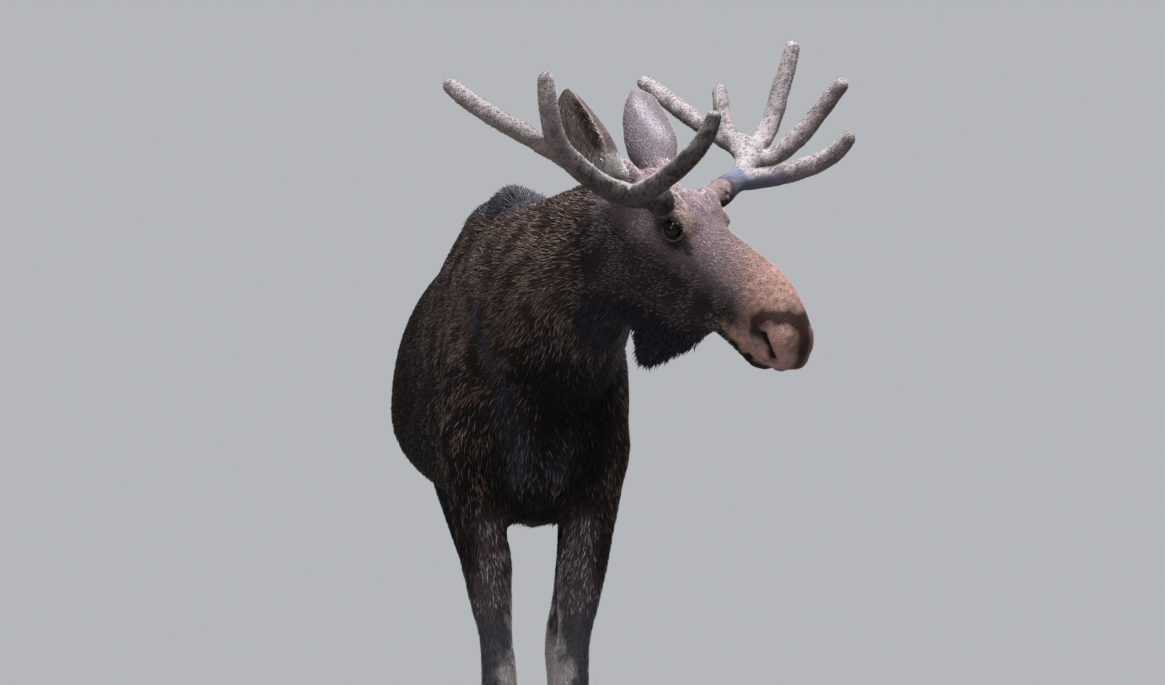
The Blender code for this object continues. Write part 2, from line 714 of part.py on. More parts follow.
def part_flesh(flesh):
    """Cut the flesh where a person would name its parts, and drop what lies inside the hooves."""
    cut(flesh, slab(on_head((-18.5, 0, -9)), HEAD_AXES[0], 0.35, 0.35))
    cut(flesh, slab((0.03, -0.075, 1.56), (0.22, -0.86, 0.46), 0.36, 0.42))
    names = {"trunk": (0, 0.7, 1.0), "neck": (0.09, -0.29, 1.87), "head": on_head((12, 0, 8))}
    stubs = []
    for side, mirror in (("right", -1), ("left", 1)):
        cut(flesh, slab((mirror * 0.136, 0.04, 0.968), (0, 0, 1), 0.11, 0.15))
        cut(flesh, slab((mirror * 0.095, 0.0, 0.560), (0, 0, 1), 0.08, 0.10))
        cut(flesh, slab((mirror * 0.160 + 0.040, 1.26, 1.030), (0, 0, 1), 0.13, 0.24))
        cut(flesh, slab((mirror * 0.090 + 0.050, 1.385, 0.600), (0, 0, 1), 0.07, 0.10))
        names[f"foreleg_{side}_upper"] = (0.15 * mirror, 0.02, 0.76)
        names[f"foreleg_{side}_lower"] = (0.12 * mirror, 0.0, 0.31)
        names[f"hindleg_{side}_upper"] = (0.17 * mirror + 0.05, 1.30, 0.83)
        names[f"hindleg_{side}_lower"] = (0.12 * mirror + 0.05, 1.34, 0.33)
        for kind, (x, y, aside, _) in FEET.items():
            cut(flesh, slab((x * mirror + aside, y, CORONET), (0, CORONET_SLOPE, 1), 0.07, 0.09))
            stubs.append(f"stub_{kind}_{side}")
            names[stubs[-1]] = (x * mirror + aside, y, 0.02)
    parts = part_by(flesh, names)
    for stub in stubs:
        bpy.data.objects.remove(parts.pop(stub))
    return parts


def build_antler(side, head):
    """One antler: its branches fused, thinned, seated on the skull and parted at the forks."""
    branches = ANTLERS[side]
    shapes = []
    for path in branches.values():
        points, faces = tube(path)
        shapes.append((on_head(points), faces))
    if side == "left":
        web, faces = ball((-11.5, 31.5, 17.6), (5.5, 4.6, 1.9))
        shapes.append((on_head(web), faces))
    antler = fuse(make("antler", *shapes), ANTLER_VOXEL, 4)
    thin(antler, ANTLER_TRIANGLES * len(branches))
    seat(antler, head)
    names = {}
    for branch, path in branches.items():
        course = on_head(along(path, 101)[:, :3])
        share, reach = ANTLER_CUTS[side].get(branch, (0.0, 0.0))
        i = round(100 * share)
        if reach:
            cut(antler, slab(course[i], course[i + 1] - course[i - 1], reach, reach))
        names[f"antler_{side}_{branch}"] = course[i + (100 - i) // 2]
    return part_by(antler, names)


def build():
    for old in list(bpy.data.objects):
        bpy.data.objects.remove(old)
    flesh = build_flesh()
    whole = swollen(flesh, 0)
    for mirror in (-1, 1):
        cut(flesh, eye_ball(mirror, EYE_RADIUS + 0.05))
    parts = part_flesh(flesh)
    for side, mirror in (("right", -1), ("left", 1)):
        parts[f"eye_{side}"] = eye_ball(mirror, EYE_RADIUS)
        parts[f"ear_{side}"] = seat(make("ear", ear(side)), whole)
        parts.update(build_antler(side, whole))
        for kind, foot in FEET.items():
            for across in (-1, 1):
                label = f"{kind}_{side}_{'outer' if across == mirror else 'inner'}"
                parts[f"hoof_{label}"] = make("hoof", claw(foot, mirror, across))
                parts[f"dewclaw_{label}"] = seat(make("dewclaw", dewclaw(foot, mirror, across)), whole)
    parts["beard"] = seat(make("beard", beard()), whole)
    parts["tail"] = seat(make("tail", tail()), whole)
    bpy.data.objects.remove(whole)
    return parts


def finish(parts):
    """Names, materials, and the middle of the whole box brought over the origin."""
    every = np.concatenate([places(thing.data) for thing in parts.values()])
    low, high = every.min(0), every.max(0)
    shift = -np.array([(low[0] + high[0]) / 2, (low[1] + high[1]) / 2, low[2]])
    for name, thing in parts.items():
        thing.name = name
        place(thing.data, places(thing.data) + shift)
        kind = name.split("_")[0]
        if kind == "antler":
            dress(thing, "velvet", VELVET, 0.9)
        elif kind in ("hoof", "dewclaw"):
            dress(thing, "horn", HORN, 0.45)
        elif kind == "eye":
            dress(thing, "eye", EYE, 0.05)
        elif kind in ("head", "ear"):
            dress(thing, "face", FACE, 0.85)
        elif name.endswith("_lower"):
            dress(thing, "shank", SHANK, 0.85)
        else:
            dress(thing, "coat", COAT, 0.8)


finish(build())
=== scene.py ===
# %% [markdown]
# # A bull moose in velvet, life size
# The animal stands square and looks to its left. Its antlers are still growing, so they wear a furry
# skin called velvet. This lesson clothes a plain solid model of it: one skin over the whole body, a coat
# of many small tufts, velvet antlers, wet eyes and split hooves.
#
# Everything is worked out with numpy as whole arrays and then put into meshes. Metres, +Z up. The body
# faces -Y, so the moose's left side is +X.

# %% Load the solid model
import json
import math

import bmesh
import bpy
import numpy as np
from mathutils import Matrix, Vector

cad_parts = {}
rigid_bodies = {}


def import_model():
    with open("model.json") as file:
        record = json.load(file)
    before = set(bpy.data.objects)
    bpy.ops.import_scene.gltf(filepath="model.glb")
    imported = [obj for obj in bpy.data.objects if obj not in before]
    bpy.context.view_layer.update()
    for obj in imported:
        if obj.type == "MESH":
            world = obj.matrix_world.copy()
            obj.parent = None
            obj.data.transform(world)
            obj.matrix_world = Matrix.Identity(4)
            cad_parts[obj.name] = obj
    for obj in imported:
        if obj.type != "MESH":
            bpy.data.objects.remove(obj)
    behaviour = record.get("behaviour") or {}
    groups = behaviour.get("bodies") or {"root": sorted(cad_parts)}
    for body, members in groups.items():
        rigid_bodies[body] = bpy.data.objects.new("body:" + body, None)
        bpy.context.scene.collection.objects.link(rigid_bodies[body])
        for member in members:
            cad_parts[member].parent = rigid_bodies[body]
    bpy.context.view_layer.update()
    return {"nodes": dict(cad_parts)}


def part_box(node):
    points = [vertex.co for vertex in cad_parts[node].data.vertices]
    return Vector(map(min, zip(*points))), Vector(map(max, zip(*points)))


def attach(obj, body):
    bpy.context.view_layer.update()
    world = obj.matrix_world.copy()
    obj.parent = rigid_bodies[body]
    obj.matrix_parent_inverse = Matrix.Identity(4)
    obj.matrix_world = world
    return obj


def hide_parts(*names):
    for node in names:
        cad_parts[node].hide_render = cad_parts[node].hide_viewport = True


for old in list(bpy.data.objects):
    bpy.data.objects.remove(old)
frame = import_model()

# %% [markdown]
# ## Where things are
# The head is turned and tipped, so its features are measured in a frame of its own: centimetres forward,
# left and up from the point between the eyes. Three angles give its axes. The solid model was moved so
# that the middle of its box stands over the origin; the eye's place tells by how much.

# %% The head's own frame
CM = 0.01
HEAD_YAW = math.radians(48.6)  # from straight ahead towards the moose's left
HEAD_PITCH = math.radians(24)  # nose down
HEAD_ROLL = math.radians(3.4)  # left side of the face up
EYE_CENTRE = np.array([1.1, 8.3, 4.6])
EYE_RADIUS = 2.4
BETWEEN_EYES = np.array([0.346, -0.612, 1.728])


def head_axes():
    """The head's forward, left and up directions, as rows: yaw, then pitch, then roll."""
    level = np.array([math.sin(HEAD_YAW), -math.cos(HEAD_YAW), 0.0])
    side = np.array([math.cos(HEAD_YAW), math.sin(HEAD_YAW), 0.0])
    sky = np.array([0.0, 0.0, 1.0])
    forward = level * math.cos(HEAD_PITCH) - sky * math.sin(HEAD_PITCH)
    crown = sky * math.cos(HEAD_PITCH) + level * math.sin(HEAD_PITCH)
    left = side * math.cos(HEAD_ROLL) + crown * math.sin(HEAD_ROLL)
    up = crown * math.cos(HEAD_ROLL) - side * math.sin(HEAD_ROLL)
    return np.stack([forward, left, up])


HEAD_AXES = head_axes()
right_eye = np.mean([np.array(corner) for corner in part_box("eye_right")], axis=0)
SHIFT = right_eye - BETWEEN_EYES - EYE_CENTRE * [1, -1, 1] * CM @ HEAD_AXES
SHIFT[2] = 0.0  # the feet were on the floor from the start
HEAD_AT = BETWEEN_EYES + SHIFT


def on_head(points):
    """World places of points given in head centimetres."""
    return HEAD_AT + np.asarray(points, float) * CM @ HEAD_AXES


def to_head(points):
    """Head centimetres of world places: the distances along the head's three axes."""
    return (points - HEAD_AT) @ HEAD_AXES.T / CM


print("the body stands", SHIFT.round(3), "from where its forms were drawn")

# %% [markdown]
# ## Smooth curves from a few stations
# A body is drawn best as a row of cross sections, as a boat is. A few stations are enough when a smooth
# curve runs through them: a cubic Hermite curve, whose slope at each station is the slope between its
# neighbours. The same function serves trunk, legs, skull, ears and antler tines.

# %% Curves through stations


def unit(v):
    """Vectors over their lengths."""
    return v / np.linalg.norm(v, axis=-1, keepdims=True)


def step(low, high, x):
    """0 up to low, 1 from high on, and 3t^2 - 2t^3 between them; low may be the larger."""
    t = np.clip((x - low) / (high - low), 0, 1)
    return t * t * (3 - 2 * t)


def bell(apart, width, strength=1.0, most=1.0):
    """The strength times e to the power of minus (distance over width) squared, and never above most."""
    return np.minimum(most, strength * np.exp(-((apart / width) ** 2)))


def read(table, at):
    """The table's columns as cubic Hermite curves of its first column, read at these values."""
    table = np.asarray(table, float)
    knots, values = table[:, 0], table[:, 1:]
    slopes = np.gradient(values, knots, axis=0)
    i = np.clip(np.searchsorted(knots, at, side="right") - 1, 0, len(knots) - 2)
    width = (knots[i + 1] - knots[i])[:, None]
    t = (at - knots[i])[:, None] / width
    start = (1 + 2 * t) * (1 - t) ** 2 * values[i] + t * (1 - t) ** 2 * width * slopes[i]
    end = t**2 * (3 - 2 * t) * values[i + 1] + t**2 * (t - 1) * width * slopes[i + 1]
    return start + end


def stations(table, count):
    """The table read at evenly spaced values of its first column, that column kept."""
    table = sorted(table)
    at = np.linspace(table[0][0], table[-1][0], count)
    return np.column_stack([at, read(table, at)])


def along(points, count):
    """A smooth path through the points, read evenly by length; further columns follow."""
    points = np.asarray(points, float)
    steps = np.linalg.norm(np.diff(points[:, :3], axis=0), axis=1)
    length = np.concatenate([[0], np.cumsum(steps)])
    return read(np.column_stack([length, points]), np.linspace(0, length[-1], count))


# %% [markdown]
# ## Meshes from arrays
# A closed grid is rings of points joined by quads, with a fan of triangles over each end. An oval ring
# may reach further up than down. Both serve every rounded form here.

# %% Closed grids and meshes


def closed_grid(rings):
    """Points and faces of rings joined by quads and closed by a fan at each end."""
    n, m = rings.shape[:2]
    i, j = np.meshgrid(np.arange(n - 1), np.arange(m), indexing="ij")
    k = (j + 1) % m
    quads = np.stack([i * m + j, i * m + k, (i + 1) * m + k, (i + 1) * m + j], -1).reshape(-1, 4)
    j = np.arange(m)
    k = (j + 1) % m
    first = np.stack([np.full(m, n * m), k, j], -1)
    last = np.stack([np.full(m, n * m + 1), (n - 1) * m + j, (n - 1) * m + k], -1)
    points = np.concatenate([rings.reshape(-1, 3), [rings[0].mean(0), rings[-1].mean(0)]])
    return points, [quads, np.concatenate([first, last])]


def ovals(centre, side, up, down, count=28):
    """Rings round the centres: side times the cosine, and up or down times the sine."""
    angle = np.linspace(0, 2 * math.pi, count, endpoint=False)[None, :, None]
    high, low = np.maximum(np.sin(angle), 0), np.maximum(-np.sin(angle), 0)
    around = side[:, None] * np.cos(angle) + up[:, None] * high + down[:, None] * low
    return centre[:, None] + around


def ball(centre, radii, count=20):
    """An ellipsoid: circles of latitude scaled by the three radii."""
    turn = np.linspace(-math.pi / 2, math.pi / 2, count)[1:-1, None]
    angle = np.linspace(0, 2 * math.pi, 2 * count, endpoint=False)[None]
    x = np.cos(turn) * np.cos(angle)
    y = np.cos(turn) * np.sin(angle)
    z = np.sin(turn) + 0 * angle
    return closed_grid(np.stack([x, y, z], -1) * np.array(radii) + np.array(centre))


def tube(path, rings=40, count=24):
    """A tapered tube with half-round ends; path columns are X, Y, Z and radius."""
    path = along(path, rings)
    centre, radius = path[:, :3], path[:, 3:]
    course = unit(np.gradient(centre, axis=0))
    side = unit(np.cross(course, [0.3, 0.2, 1.0]))
    up = np.cross(side, course)
    bend = np.radians([75, 55, 30])[:, None]
    start = centre[:1] - course[:1] * radius[:1] * np.sin(bend)
    end = centre[-1:] + course[-1:] * radius[-1:] * np.sin(bend[::-1])
    centre = np.concatenate([start, centre, end])
    radius = np.concatenate([radius[:1] * np.cos(bend), radius, radius[-1:] * np.cos(bend[::-1])])
    side = np.concatenate([side[:1]] * 3 + [side] + [side[-1:]] * 3)
    up = np.concatenate([up[:1]] * 3 + [up] + [up[-1:]] * 3)
    return closed_grid(ovals(centre, side * radius, up * radius, -up * radius, count))


def fill(mesh, points, faces):
    """Put points and arrays of faces, each of one number of corners, into a mesh."""
    sizes = np.concatenate([np.full(len(part), part.shape[1]) for part in faces])
    corners = np.concatenate([part.ravel() for part in faces])
    mesh.vertices.add(len(points))
    mesh.vertices.foreach_set("co", np.asarray(points, np.float32).ravel())
    mesh.loops.add(len(corners))
    mesh.loops.foreach_set("vertex_index", corners.astype(np.int32))
    mesh.polygons.add(len(sizes))
    mesh.polygons.foreach_set("loop_start", (np.cumsum(sizes) - sizes).astype(np.int32))
    mesh.update(calc_edges=True)


def piece(name, points, faces):
    """A smooth shaded object from arrays, placed by its points alone."""
    mesh = bpy.data.meshes.new(name)
    fill(mesh, points, faces)
    mesh.shade_smooth()
    thing = bpy.data.objects.new(name, mesh)
    bpy.context.scene.collection.objects.link(thing)
    return thing


def joined(shapes):
    """One pair of points and faces from many."""
    points = np.concatenate([shape[0] for shape in shapes])
    base, faces = 0, []
    for shape_points, shape_faces in shapes:
        faces += [part + base for part in shape_faces]
        base += len(shape_points)
    return points, faces


def numbers(items, field, columns=3, kind=np.float32):
    """One field of all points, edges, faces or corners, as rows of an array."""
    values = np.empty(len(items) * columns, kind)
    items.foreach_get(field, values)
    return values.reshape(-1, columns)


def places(mesh):
    """Where the mesh's points are."""
    return numbers(mesh.vertices, "co").astype(float)


def normals_of(mesh):
    """The outward directions at the mesh's points."""
    return numbers(mesh.vertices, "normal").astype(float)


def place(mesh, points):
    """Move the mesh's points to these places."""
    mesh.vertices.foreach_set("co", points.astype(np.float32).ravel())
    mesh.update()


def settle(thing):
    """Put what the modifiers make into the mesh, and drop them."""
    graph = bpy.context.evaluated_depsgraph_get()
    mesh = bpy.data.meshes.new_from_object(thing.evaluated_get(graph))
    thing.modifiers.clear()
    old, thing.data = thing.data, mesh
    bpy.data.meshes.remove(old)
    return thing


# %% [markdown]
# ## The body's forms
# The flesh is drawn as closed lofts and balls: trunk, neck, skull, jaw, four legs, beard, tail, and the
# muscles and bones that stand out. They have the solid model's numbers, apart from a few forms of the
# skin's own, such as the full lips and the filling between the thighs. So once the skin is sunk by the
# depth of the coat, it lies just inside the solids. The stations are places along the form, and the
# columns are heights and half widths.

# %% Stations of the body, in metres
# Place along Y, top, bottom, height of the widest point, half width, lean of the crest, bend aside.
TRUNK = [
    (-0.20, 1.48, 1.14, 1.30, 0.10, 0.0, 0.0),
    (-0.12, 1.64, 1.04, 1.32, 0.175, 0.0, 0.0),
    (0.00, 1.79, 1.00, 1.34, 0.215, -0.02, 0.0),
    (0.15, 1.878, 1.00, 1.35, 0.236, -0.030, -0.002),
    (0.30, 1.866, 1.01, 1.33, 0.266, -0.024, -0.008),
    (0.50, 1.800, 1.025, 1.30, 0.296, -0.006, -0.020),
    (0.70, 1.762, 1.035, 1.28, 0.320, 0.0, -0.028),
    (0.90, 1.748, 1.060, 1.32, 0.315, 0.0, -0.026),
    (1.10, 1.752, 1.110, 1.38, 0.288, 0.0, -0.015),
    (1.30, 1.745, 1.170, 1.42, 0.250, 0.0, 0.0),
    (1.48, 1.690, 1.220, 1.44, 0.195, 0.0, 0.010),
    (1.61, 1.590, 1.290, 1.43, 0.110, 0.0, 0.012),
]
# Centre X, Y, Z, half height, half width.
NECK = [
    (-0.010, 0.220, 1.460, 0.340, 0.200),
    (0.006, 0.020, 1.525, 0.320, 0.215),
    (0.040, -0.150, 1.590, 0.282, 0.206),
    (0.093, -0.290, 1.655, 0.218, 0.172),
    (0.155, -0.405, 1.712, 0.185, 0.126),
    (0.225, -0.500, 1.762, 0.162, 0.108),
]
# Height, X, Y, half width, half depth, and how far the pair stands aside.
FORELEG = [
    (1.300, 0.165, 0.060, 0.075, 0.140, 0.0),
    (1.120, 0.158, 0.060, 0.078, 0.125, 0.0),
    (1.000, 0.140, 0.045, 0.073, 0.102, 0.0),
    (0.900, 0.126, 0.030, 0.067, 0.082, 0.0),
    (0.800, 0.114, 0.020, 0.057, 0.067, 0.0),
    (0.700, 0.101, 0.010, 0.045, 0.056, 0.0),
    (0.630, 0.095, 0.003, 0.047, 0.058, 0.0),
    (0.570, 0.093, -0.003, 0.049, 0.056, 0.0),
    (0.510, 0.092, 0.004, 0.042, 0.047, 0.0),
    (0.440, 0.091, 0.012, 0.035, 0.041, 0.0),
    (0.300, 0.091, 0.015, 0.032, 0.038, 0.0),
    (0.235, 0.091, 0.012, 0.037, 0.044, 0.0),
    (0.190, 0.091, 0.008, 0.042, 0.049, 0.0),
    (0.150, 0.091, 0.000, 0.038, 0.043, 0.0),
    (0.110, 0.091, -0.014, 0.043, 0.050, 0.0),
    (0.085, 0.091, -0.018, 0.041, 0.050, 0.0),
    (0.055, 0.091, -0.020, 0.020, 0.040, 0.0),
]
HINDLEG = [
    (1.550, 0.125, 1.340, 0.100, 0.190, 0.010),
    (1.350, 0.160, 1.310, 0.106, 0.235, 0.018),
    (1.200, 0.170, 1.275, 0.098, 0.215, 0.026),
    (1.050, 0.163, 1.250, 0.083, 0.172, 0.040),
    (0.950, 0.150, 1.268, 0.067, 0.127, 0.047),
    (0.850, 0.130, 1.308, 0.054, 0.090, 0.050),
    (0.760, 0.112, 1.352, 0.043, 0.068, 0.050),
    (0.680, 0.095, 1.383, 0.040, 0.064, 0.050),
    (0.620, 0.090, 1.385, 0.040, 0.058, 0.050),
    (0.540, 0.089, 1.371, 0.034, 0.046, 0.050),
    (0.400, 0.090, 1.350, 0.030, 0.038, 0.050),
    (0.280, 0.091, 1.335, 0.031, 0.039, 0.050),
    (0.205, 0.092, 1.325, 0.038, 0.047, 0.050),
    (0.160, 0.092, 1.312, 0.035, 0.041, 0.050),
    (0.110, 0.092, 1.296, 0.042, 0.049, 0.050),
    (0.085, 0.092, 1.292, 0.040, 0.048, 0.050),
    (0.055, 0.092, 1.290, 0.020, 0.038, 0.050),
]
TAIL = [
    (0.012, 1.52, 1.66, 0.030),
    (0.012, 1.60, 1.625, 0.034),
    (0.012, 1.645, 1.55, 0.030),
    (0.012, 1.65, 1.485, 0.014),
]
# Muscles and bones that stand out: centre and radii, on the left or in the middle.
BODY_BUMPS = [
    ((0.150, 0.060, 1.330), (0.100, 0.190, 0.290)),  # shoulder blade and upper arm
    ((0.170, 0.020, 1.220), (0.080, 0.140, 0.170)),  # point of the shoulder
    ((0.000, -0.085, 1.230), (0.125, 0.140, 0.200)),  # breast
    ((0.020, -0.105, 1.380), (0.140, 0.150, 0.180)),  # throat above it
    ((-0.045, 0.165, 1.785), (0.080, 0.230, 0.105)),  # the hair of the hump
    ((0.118, 1.150, 1.575), (0.110, 0.200, 0.135)),  # point of the hip
    ((0.080, 1.480, 1.450), (0.095, 0.130, 0.190)),  # point of the buttock
    ((0.030, 1.400, 1.270), (0.110, 0.210, 0.210)),  # between the thighs
]

# %% Stations of the head, in centimetres
# Place along the face, top, bottom, height of the widest point, half width.
SKULL = [
    (-22.0, 9.5, -12.0, -1.0, 8.0),
    (-16.6, 13.3, -15.0, -1.0, 8.8),
    (-10.0, 12.6, -17.0, 0.0, 9.2),
    (-4.0, 11.4, -17.0, 1.5, 9.3),
    (0.0, 10.4, -16.0, 2.0, 9.2),
    (6.0, 8.8, -15.2, 1.0, 8.0),
    (12.0, 7.8, -14.4, -1.5, 7.0),
    (20.0, 6.8, -12.8, -3.5, 6.4),
    (27.0, 5.6, -13.0, -5.0, 6.4),
    (33.5, 3.3, -14.8, -7.0, 6.8),
    (38.0, 0.0, -16.1, -9.0, 7.0),
    (41.5, -4.0, -16.3, -10.5, 5.9),
    (43.8, -8.0, -15.4, -11.6, 3.8),
    (44.6, -11.2, -12.4, -11.8, 0.4),
]
JAW = [
    (-11.0, -8.0, -18.6, -13.0, 6.0),
    (-4.0, -8.0, -19.3, -14.0, 6.8),
    (4.0, -8.0, -18.2, -13.0, 6.0),
    (12.0, -8.0, -17.3, -13.0, 5.0),
    (20.0, -9.0, -17.3, -14.0, 4.4),
    (27.0, -12.0, -18.9, -15.5, 4.3),
    (32.0, -14.0, -20.2, -17.0, 4.0),
    (35.5, -15.5, -19.6, -17.6, 2.8),
    (37.2, -17.0, -18.4, -17.7, 0.8),
]
HEAD_BUMPS = [
    ((0.4, 6.4, 4.4), (6.0, 2.9, 5.0)),  # rim of the eye socket
    ((0.4, 6.6, 7.6), (6.4, 3.1, 2.6)),  # brow
    ((-3.2, 7.4, 8.8), (4.4, 4.2, 4.0)),  # foot of the antler
    ((-4.0, 5.4, -8.0), (9.0, 3.4, 8.0)),  # cheek muscle
    ((38.4, 4.2, -9.6), (4.9, 3.1, 5.2)),  # nostril's wing
    ((-19.4, 7.6, 10.4), (4.2, 3.4, 4.0)),  # root of the ear
    ((25.0, 3.6, -12.9), (5.0, 2.3, 1.9)),  # upper lip, from the corner of the mouth
    ((30.5, 3.7, -14.0), (5.0, 2.4, 2.1)),
    ((36.0, 3.7, -14.6), (5.0, 2.6, 2.5)),
    ((39.6, 2.8, -13.7), (4.7, 3.1, 3.8)),  # and its full front corner
]
# Height, place along the face, half length, half thickness.
BEARD = [
    (-14.5, 2.6, 14.9, 3.0),
    (-20.0, 2.3, 13.2, 3.6),
    (-25.3, 0.9, 10.5, 3.2),
    (-30.0, 0.1, 6.4, 2.4),
    (-33.0, -0.6, 3.6, 1.4),
    (-34.4, -0.9, 1.2, 0.5),
]


# %% Lofts of the trunk, neck, legs and head
MIDDLE = 0.05  # a form nearer than this to the middle plane is single


def upright(table, count, corners):
    """Ovals from the widest point up to the top and down to the bottom. Seven columns make a loft along
    the body, with a lean and a bend; five make one along the face."""
    at, top, bottom, wide, half, *more = stations(table, count).T
    nothing = 0 * at
    lean, bend = more or (nothing, nothing)
    if more:
        centre = np.stack([bend, at, wide], -1)
        side = np.stack([half, nothing, nothing], -1)
    else:
        centre = np.stack([at, bend, wide], -1)
        side = np.stack([nothing, half, nothing], -1)
    up = np.stack([lean, nothing, top - wide], -1)
    down = np.stack([nothing, nothing, bottom - wide], -1)
    points, faces = closed_grid(ovals(centre, side, up, down, corners))
    return (points + SHIFT if more else on_head(points)), faces


def neck():
    """Ovals square to the neck's path, as high and wide as its last two columns say."""
    path = along(NECK, 40)
    centre = path[:, :3]
    course = unit(np.gradient(centre, axis=0))
    side = unit(np.cross(course, [0.0, 0.0, 1.0]))
    up = np.cross(side, course)
    height, width = path[:, 3:4], path[:, 4:5]
    points, faces = closed_grid(ovals(centre, side * width, up * height, -up * height, 48))
    return points + SHIFT, faces


def leg(table, mirror):
    """Level ovals from the top of the leg down to the foot."""
    z, x, y, half, depth, aside = stations(table, 110)[::-1].T
    nothing = 0 * z
    centre = np.stack([x * mirror + aside, y, z], -1)
    side = np.stack([half, nothing, nothing], -1)
    back = np.stack([nothing, depth, nothing], -1)
    points, faces = closed_grid(ovals(centre, side, back, -back, 28))
    return points + SHIFT, faces


def beard():
    """A flat pear: ovals across the head's up axis, long and thin."""
    z, x, length, thickness = stations(BEARD, 24).T
    nothing = 0 * z
    centre = np.stack([x, nothing, z], -1)
    side = np.stack([length, nothing, nothing], -1)
    flat = np.stack([nothing, thickness, nothing], -1)
    points, faces = closed_grid(ovals(centre, side, flat, -flat, 32))
    return on_head(points), faces


def flesh_shapes():
    """Every closed shape of the body; a form that stands out is mirrored, unless it lies in the middle."""
    shapes = [upright(TRUNK, 70, 64), neck(), upright(SKULL, 90, 48), upright(JAW, 60, 40), beard()]
    tail, faces = tube(TAIL, 12, 16)
    shapes.append((tail + SHIFT, faces))
    for mirror in (-1, 1):
        shapes += [leg(FORELEG, mirror), leg(HINDLEG, mirror)]
        for (x, y, z), radii in BODY_BUMPS:
            points, faces = ball((mirror * x if x > MIDDLE else x, y, z), radii)
            shapes.append((points + SHIFT, faces))
        for (x, y, z), radii in HEAD_BUMPS:
            points, faces = ball((x, mirror * y, z), radii)
            shapes.append((on_head(points), faces))
    return shapes


# %% [markdown]
# ## One skin from many forms
# The forms cross each other, as clay pieces pressed together do. A voxel remesh wraps them all in one
# even sheet of quads, and smoothing rounds the joints. Plain smoothing would shrink thin parts, so each
# round moves the points a little towards their neighbours and then back out by slightly more, which
# rounds the small creases and keeps the large forms.

# %% Fuse and smooth
FLESH_VOXEL = 0.0135
SMOOTH_IN, SMOOTH_OUT = 0.55, -0.57  # shares of the way to the mean of the neighbours


def links(mesh):
    """The two ends of every edge."""
    return numbers(mesh.edges, "vertices", 2, np.int32).T


def relax(points, a, b, rounds, weight=1.0):
    """Each round moves points part of the way to the mean of their neighbours, and then back by more."""
    total = len(points)
    degree = np.bincount(a, minlength=total) + np.bincount(b, minlength=total)
    for share in (SMOOTH_IN, SMOOTH_OUT) * rounds:
        near = np.empty_like(points)
        for axis in range(3):
            values = points[:, axis]
            near[:, axis] = np.bincount(a, values[b], total) + np.bincount(b, values[a], total)
        points = points + share * weight * (near / degree[:, None] - points)
    return points


def fuse(name, shapes, voxel, rounds):
    """One closed mesh round all the shapes."""
    thing = piece(name, *joined(shapes))
    work = bmesh.new()
    work.from_mesh(thing.data)
    bmesh.ops.recalc_face_normals(work, faces=work.faces)
    work.to_mesh(thing.data)
    work.free()
    remesh = thing.modifiers.new("fuse", "REMESH")
    remesh.mode = "VOXEL"
    remesh.voxel_size = voxel
    remesh.adaptivity = 0
    mesh = settle(thing).data
    place(mesh, relax(places(mesh), *links(mesh), rounds))
    return thing


skin = fuse("skin", flesh_shapes(), FLESH_VOXEL, 12)
print("skin:", len(skin.data.polygons), "quads")

# %% [markdown]
# ## Finer where it matters
# Even quads of a centimetre are right for the flank and far too coarse for an eyelid. So the mesh is
# divided again, in steps: once over the whole head, twice over eyes and muzzle, and three times close
# round each eye. After each step the new points are relaxed, or the coarse facets would stay visible.

# %% Divide the head and the places round eyes, nostrils and mouth
EYE_PLACES = [EYE_CENTRE * [1, mirror, 1] for mirror in (-1, 1)]
DIVIDE_ROUNDS = 3  # of smoothing after each division


def eye_distance(h):
    """How far points, in head centimetres, are from the nearer eye."""
    return np.min([np.linalg.norm(h - eye, axis=-1) for eye in EYE_PLACES], axis=0)


def divide(thing, inside):
    """Split every edge that lies in the region, and relax the region."""
    work = bmesh.new()
    work.from_mesh(thing.data)
    chosen = inside(to_head(places(thing.data)))
    work.verts.ensure_lookup_table()
    edges = [edge for edge in work.edges if chosen[edge.verts[0].index] and chosen[edge.verts[1].index]]
    bmesh.ops.subdivide_edges(work, edges=edges, cuts=1, use_grid_fill=True)
    bmesh.ops.triangulate(work, faces=[face for face in work.faces if len(face.verts) > 4])
    work.to_mesh(thing.data)
    work.free()
    points = places(thing.data)
    weight = inside(to_head(points))[:, None].astype(float)
    place(thing.data, relax(points, *links(thing.data), DIVIDE_ROUNDS, weight))


def on_the_head(h):
    """True from behind the ears to the nose, and down to the foot of the beard."""
    return (h[:, 0] > -24) & (h[:, 2] > -36) & (np.abs(h[:, 1]) < 16)


def on_eyes_or_muzzle(h):
    """True in a ball round each eye, and in front of a plane through the muzzle."""
    return (eye_distance(h) < 6.5) | ((h[:, 0] > 25) & (np.abs(h[:, 1]) < 16))


def round_the_eyes(h):
    """True in a smaller ball round each eye."""
    return eye_distance(h) < 4.4


for region in (on_the_head, on_eyes_or_muzzle, round_the_eyes):
    divide(skin, region)
    print(region.__name__, "divided:", len(skin.data.polygons), "faces")

# %% [markdown]
# ## Soft masks
# Coat depth, hair length, the lie of the hair and the colours all change from one part of the body to
# the next, and nowhere at a line. So each part is a soft mask, from 0 to 1, worked out from the place
# alone. Every later step mixes its values with these same masks.

# %% Masks of the body's parts
FORE_ASIDE, HIND_ASIDE = 0.091, 0.092  # the feet stand this far aside of the middle between them
HIND_SHIFT = 0.050  # and that middle lies this far to the left behind
BETWEEN_LEGS = 0.7  # the forelegs stand before this place along the body, the hind legs behind it


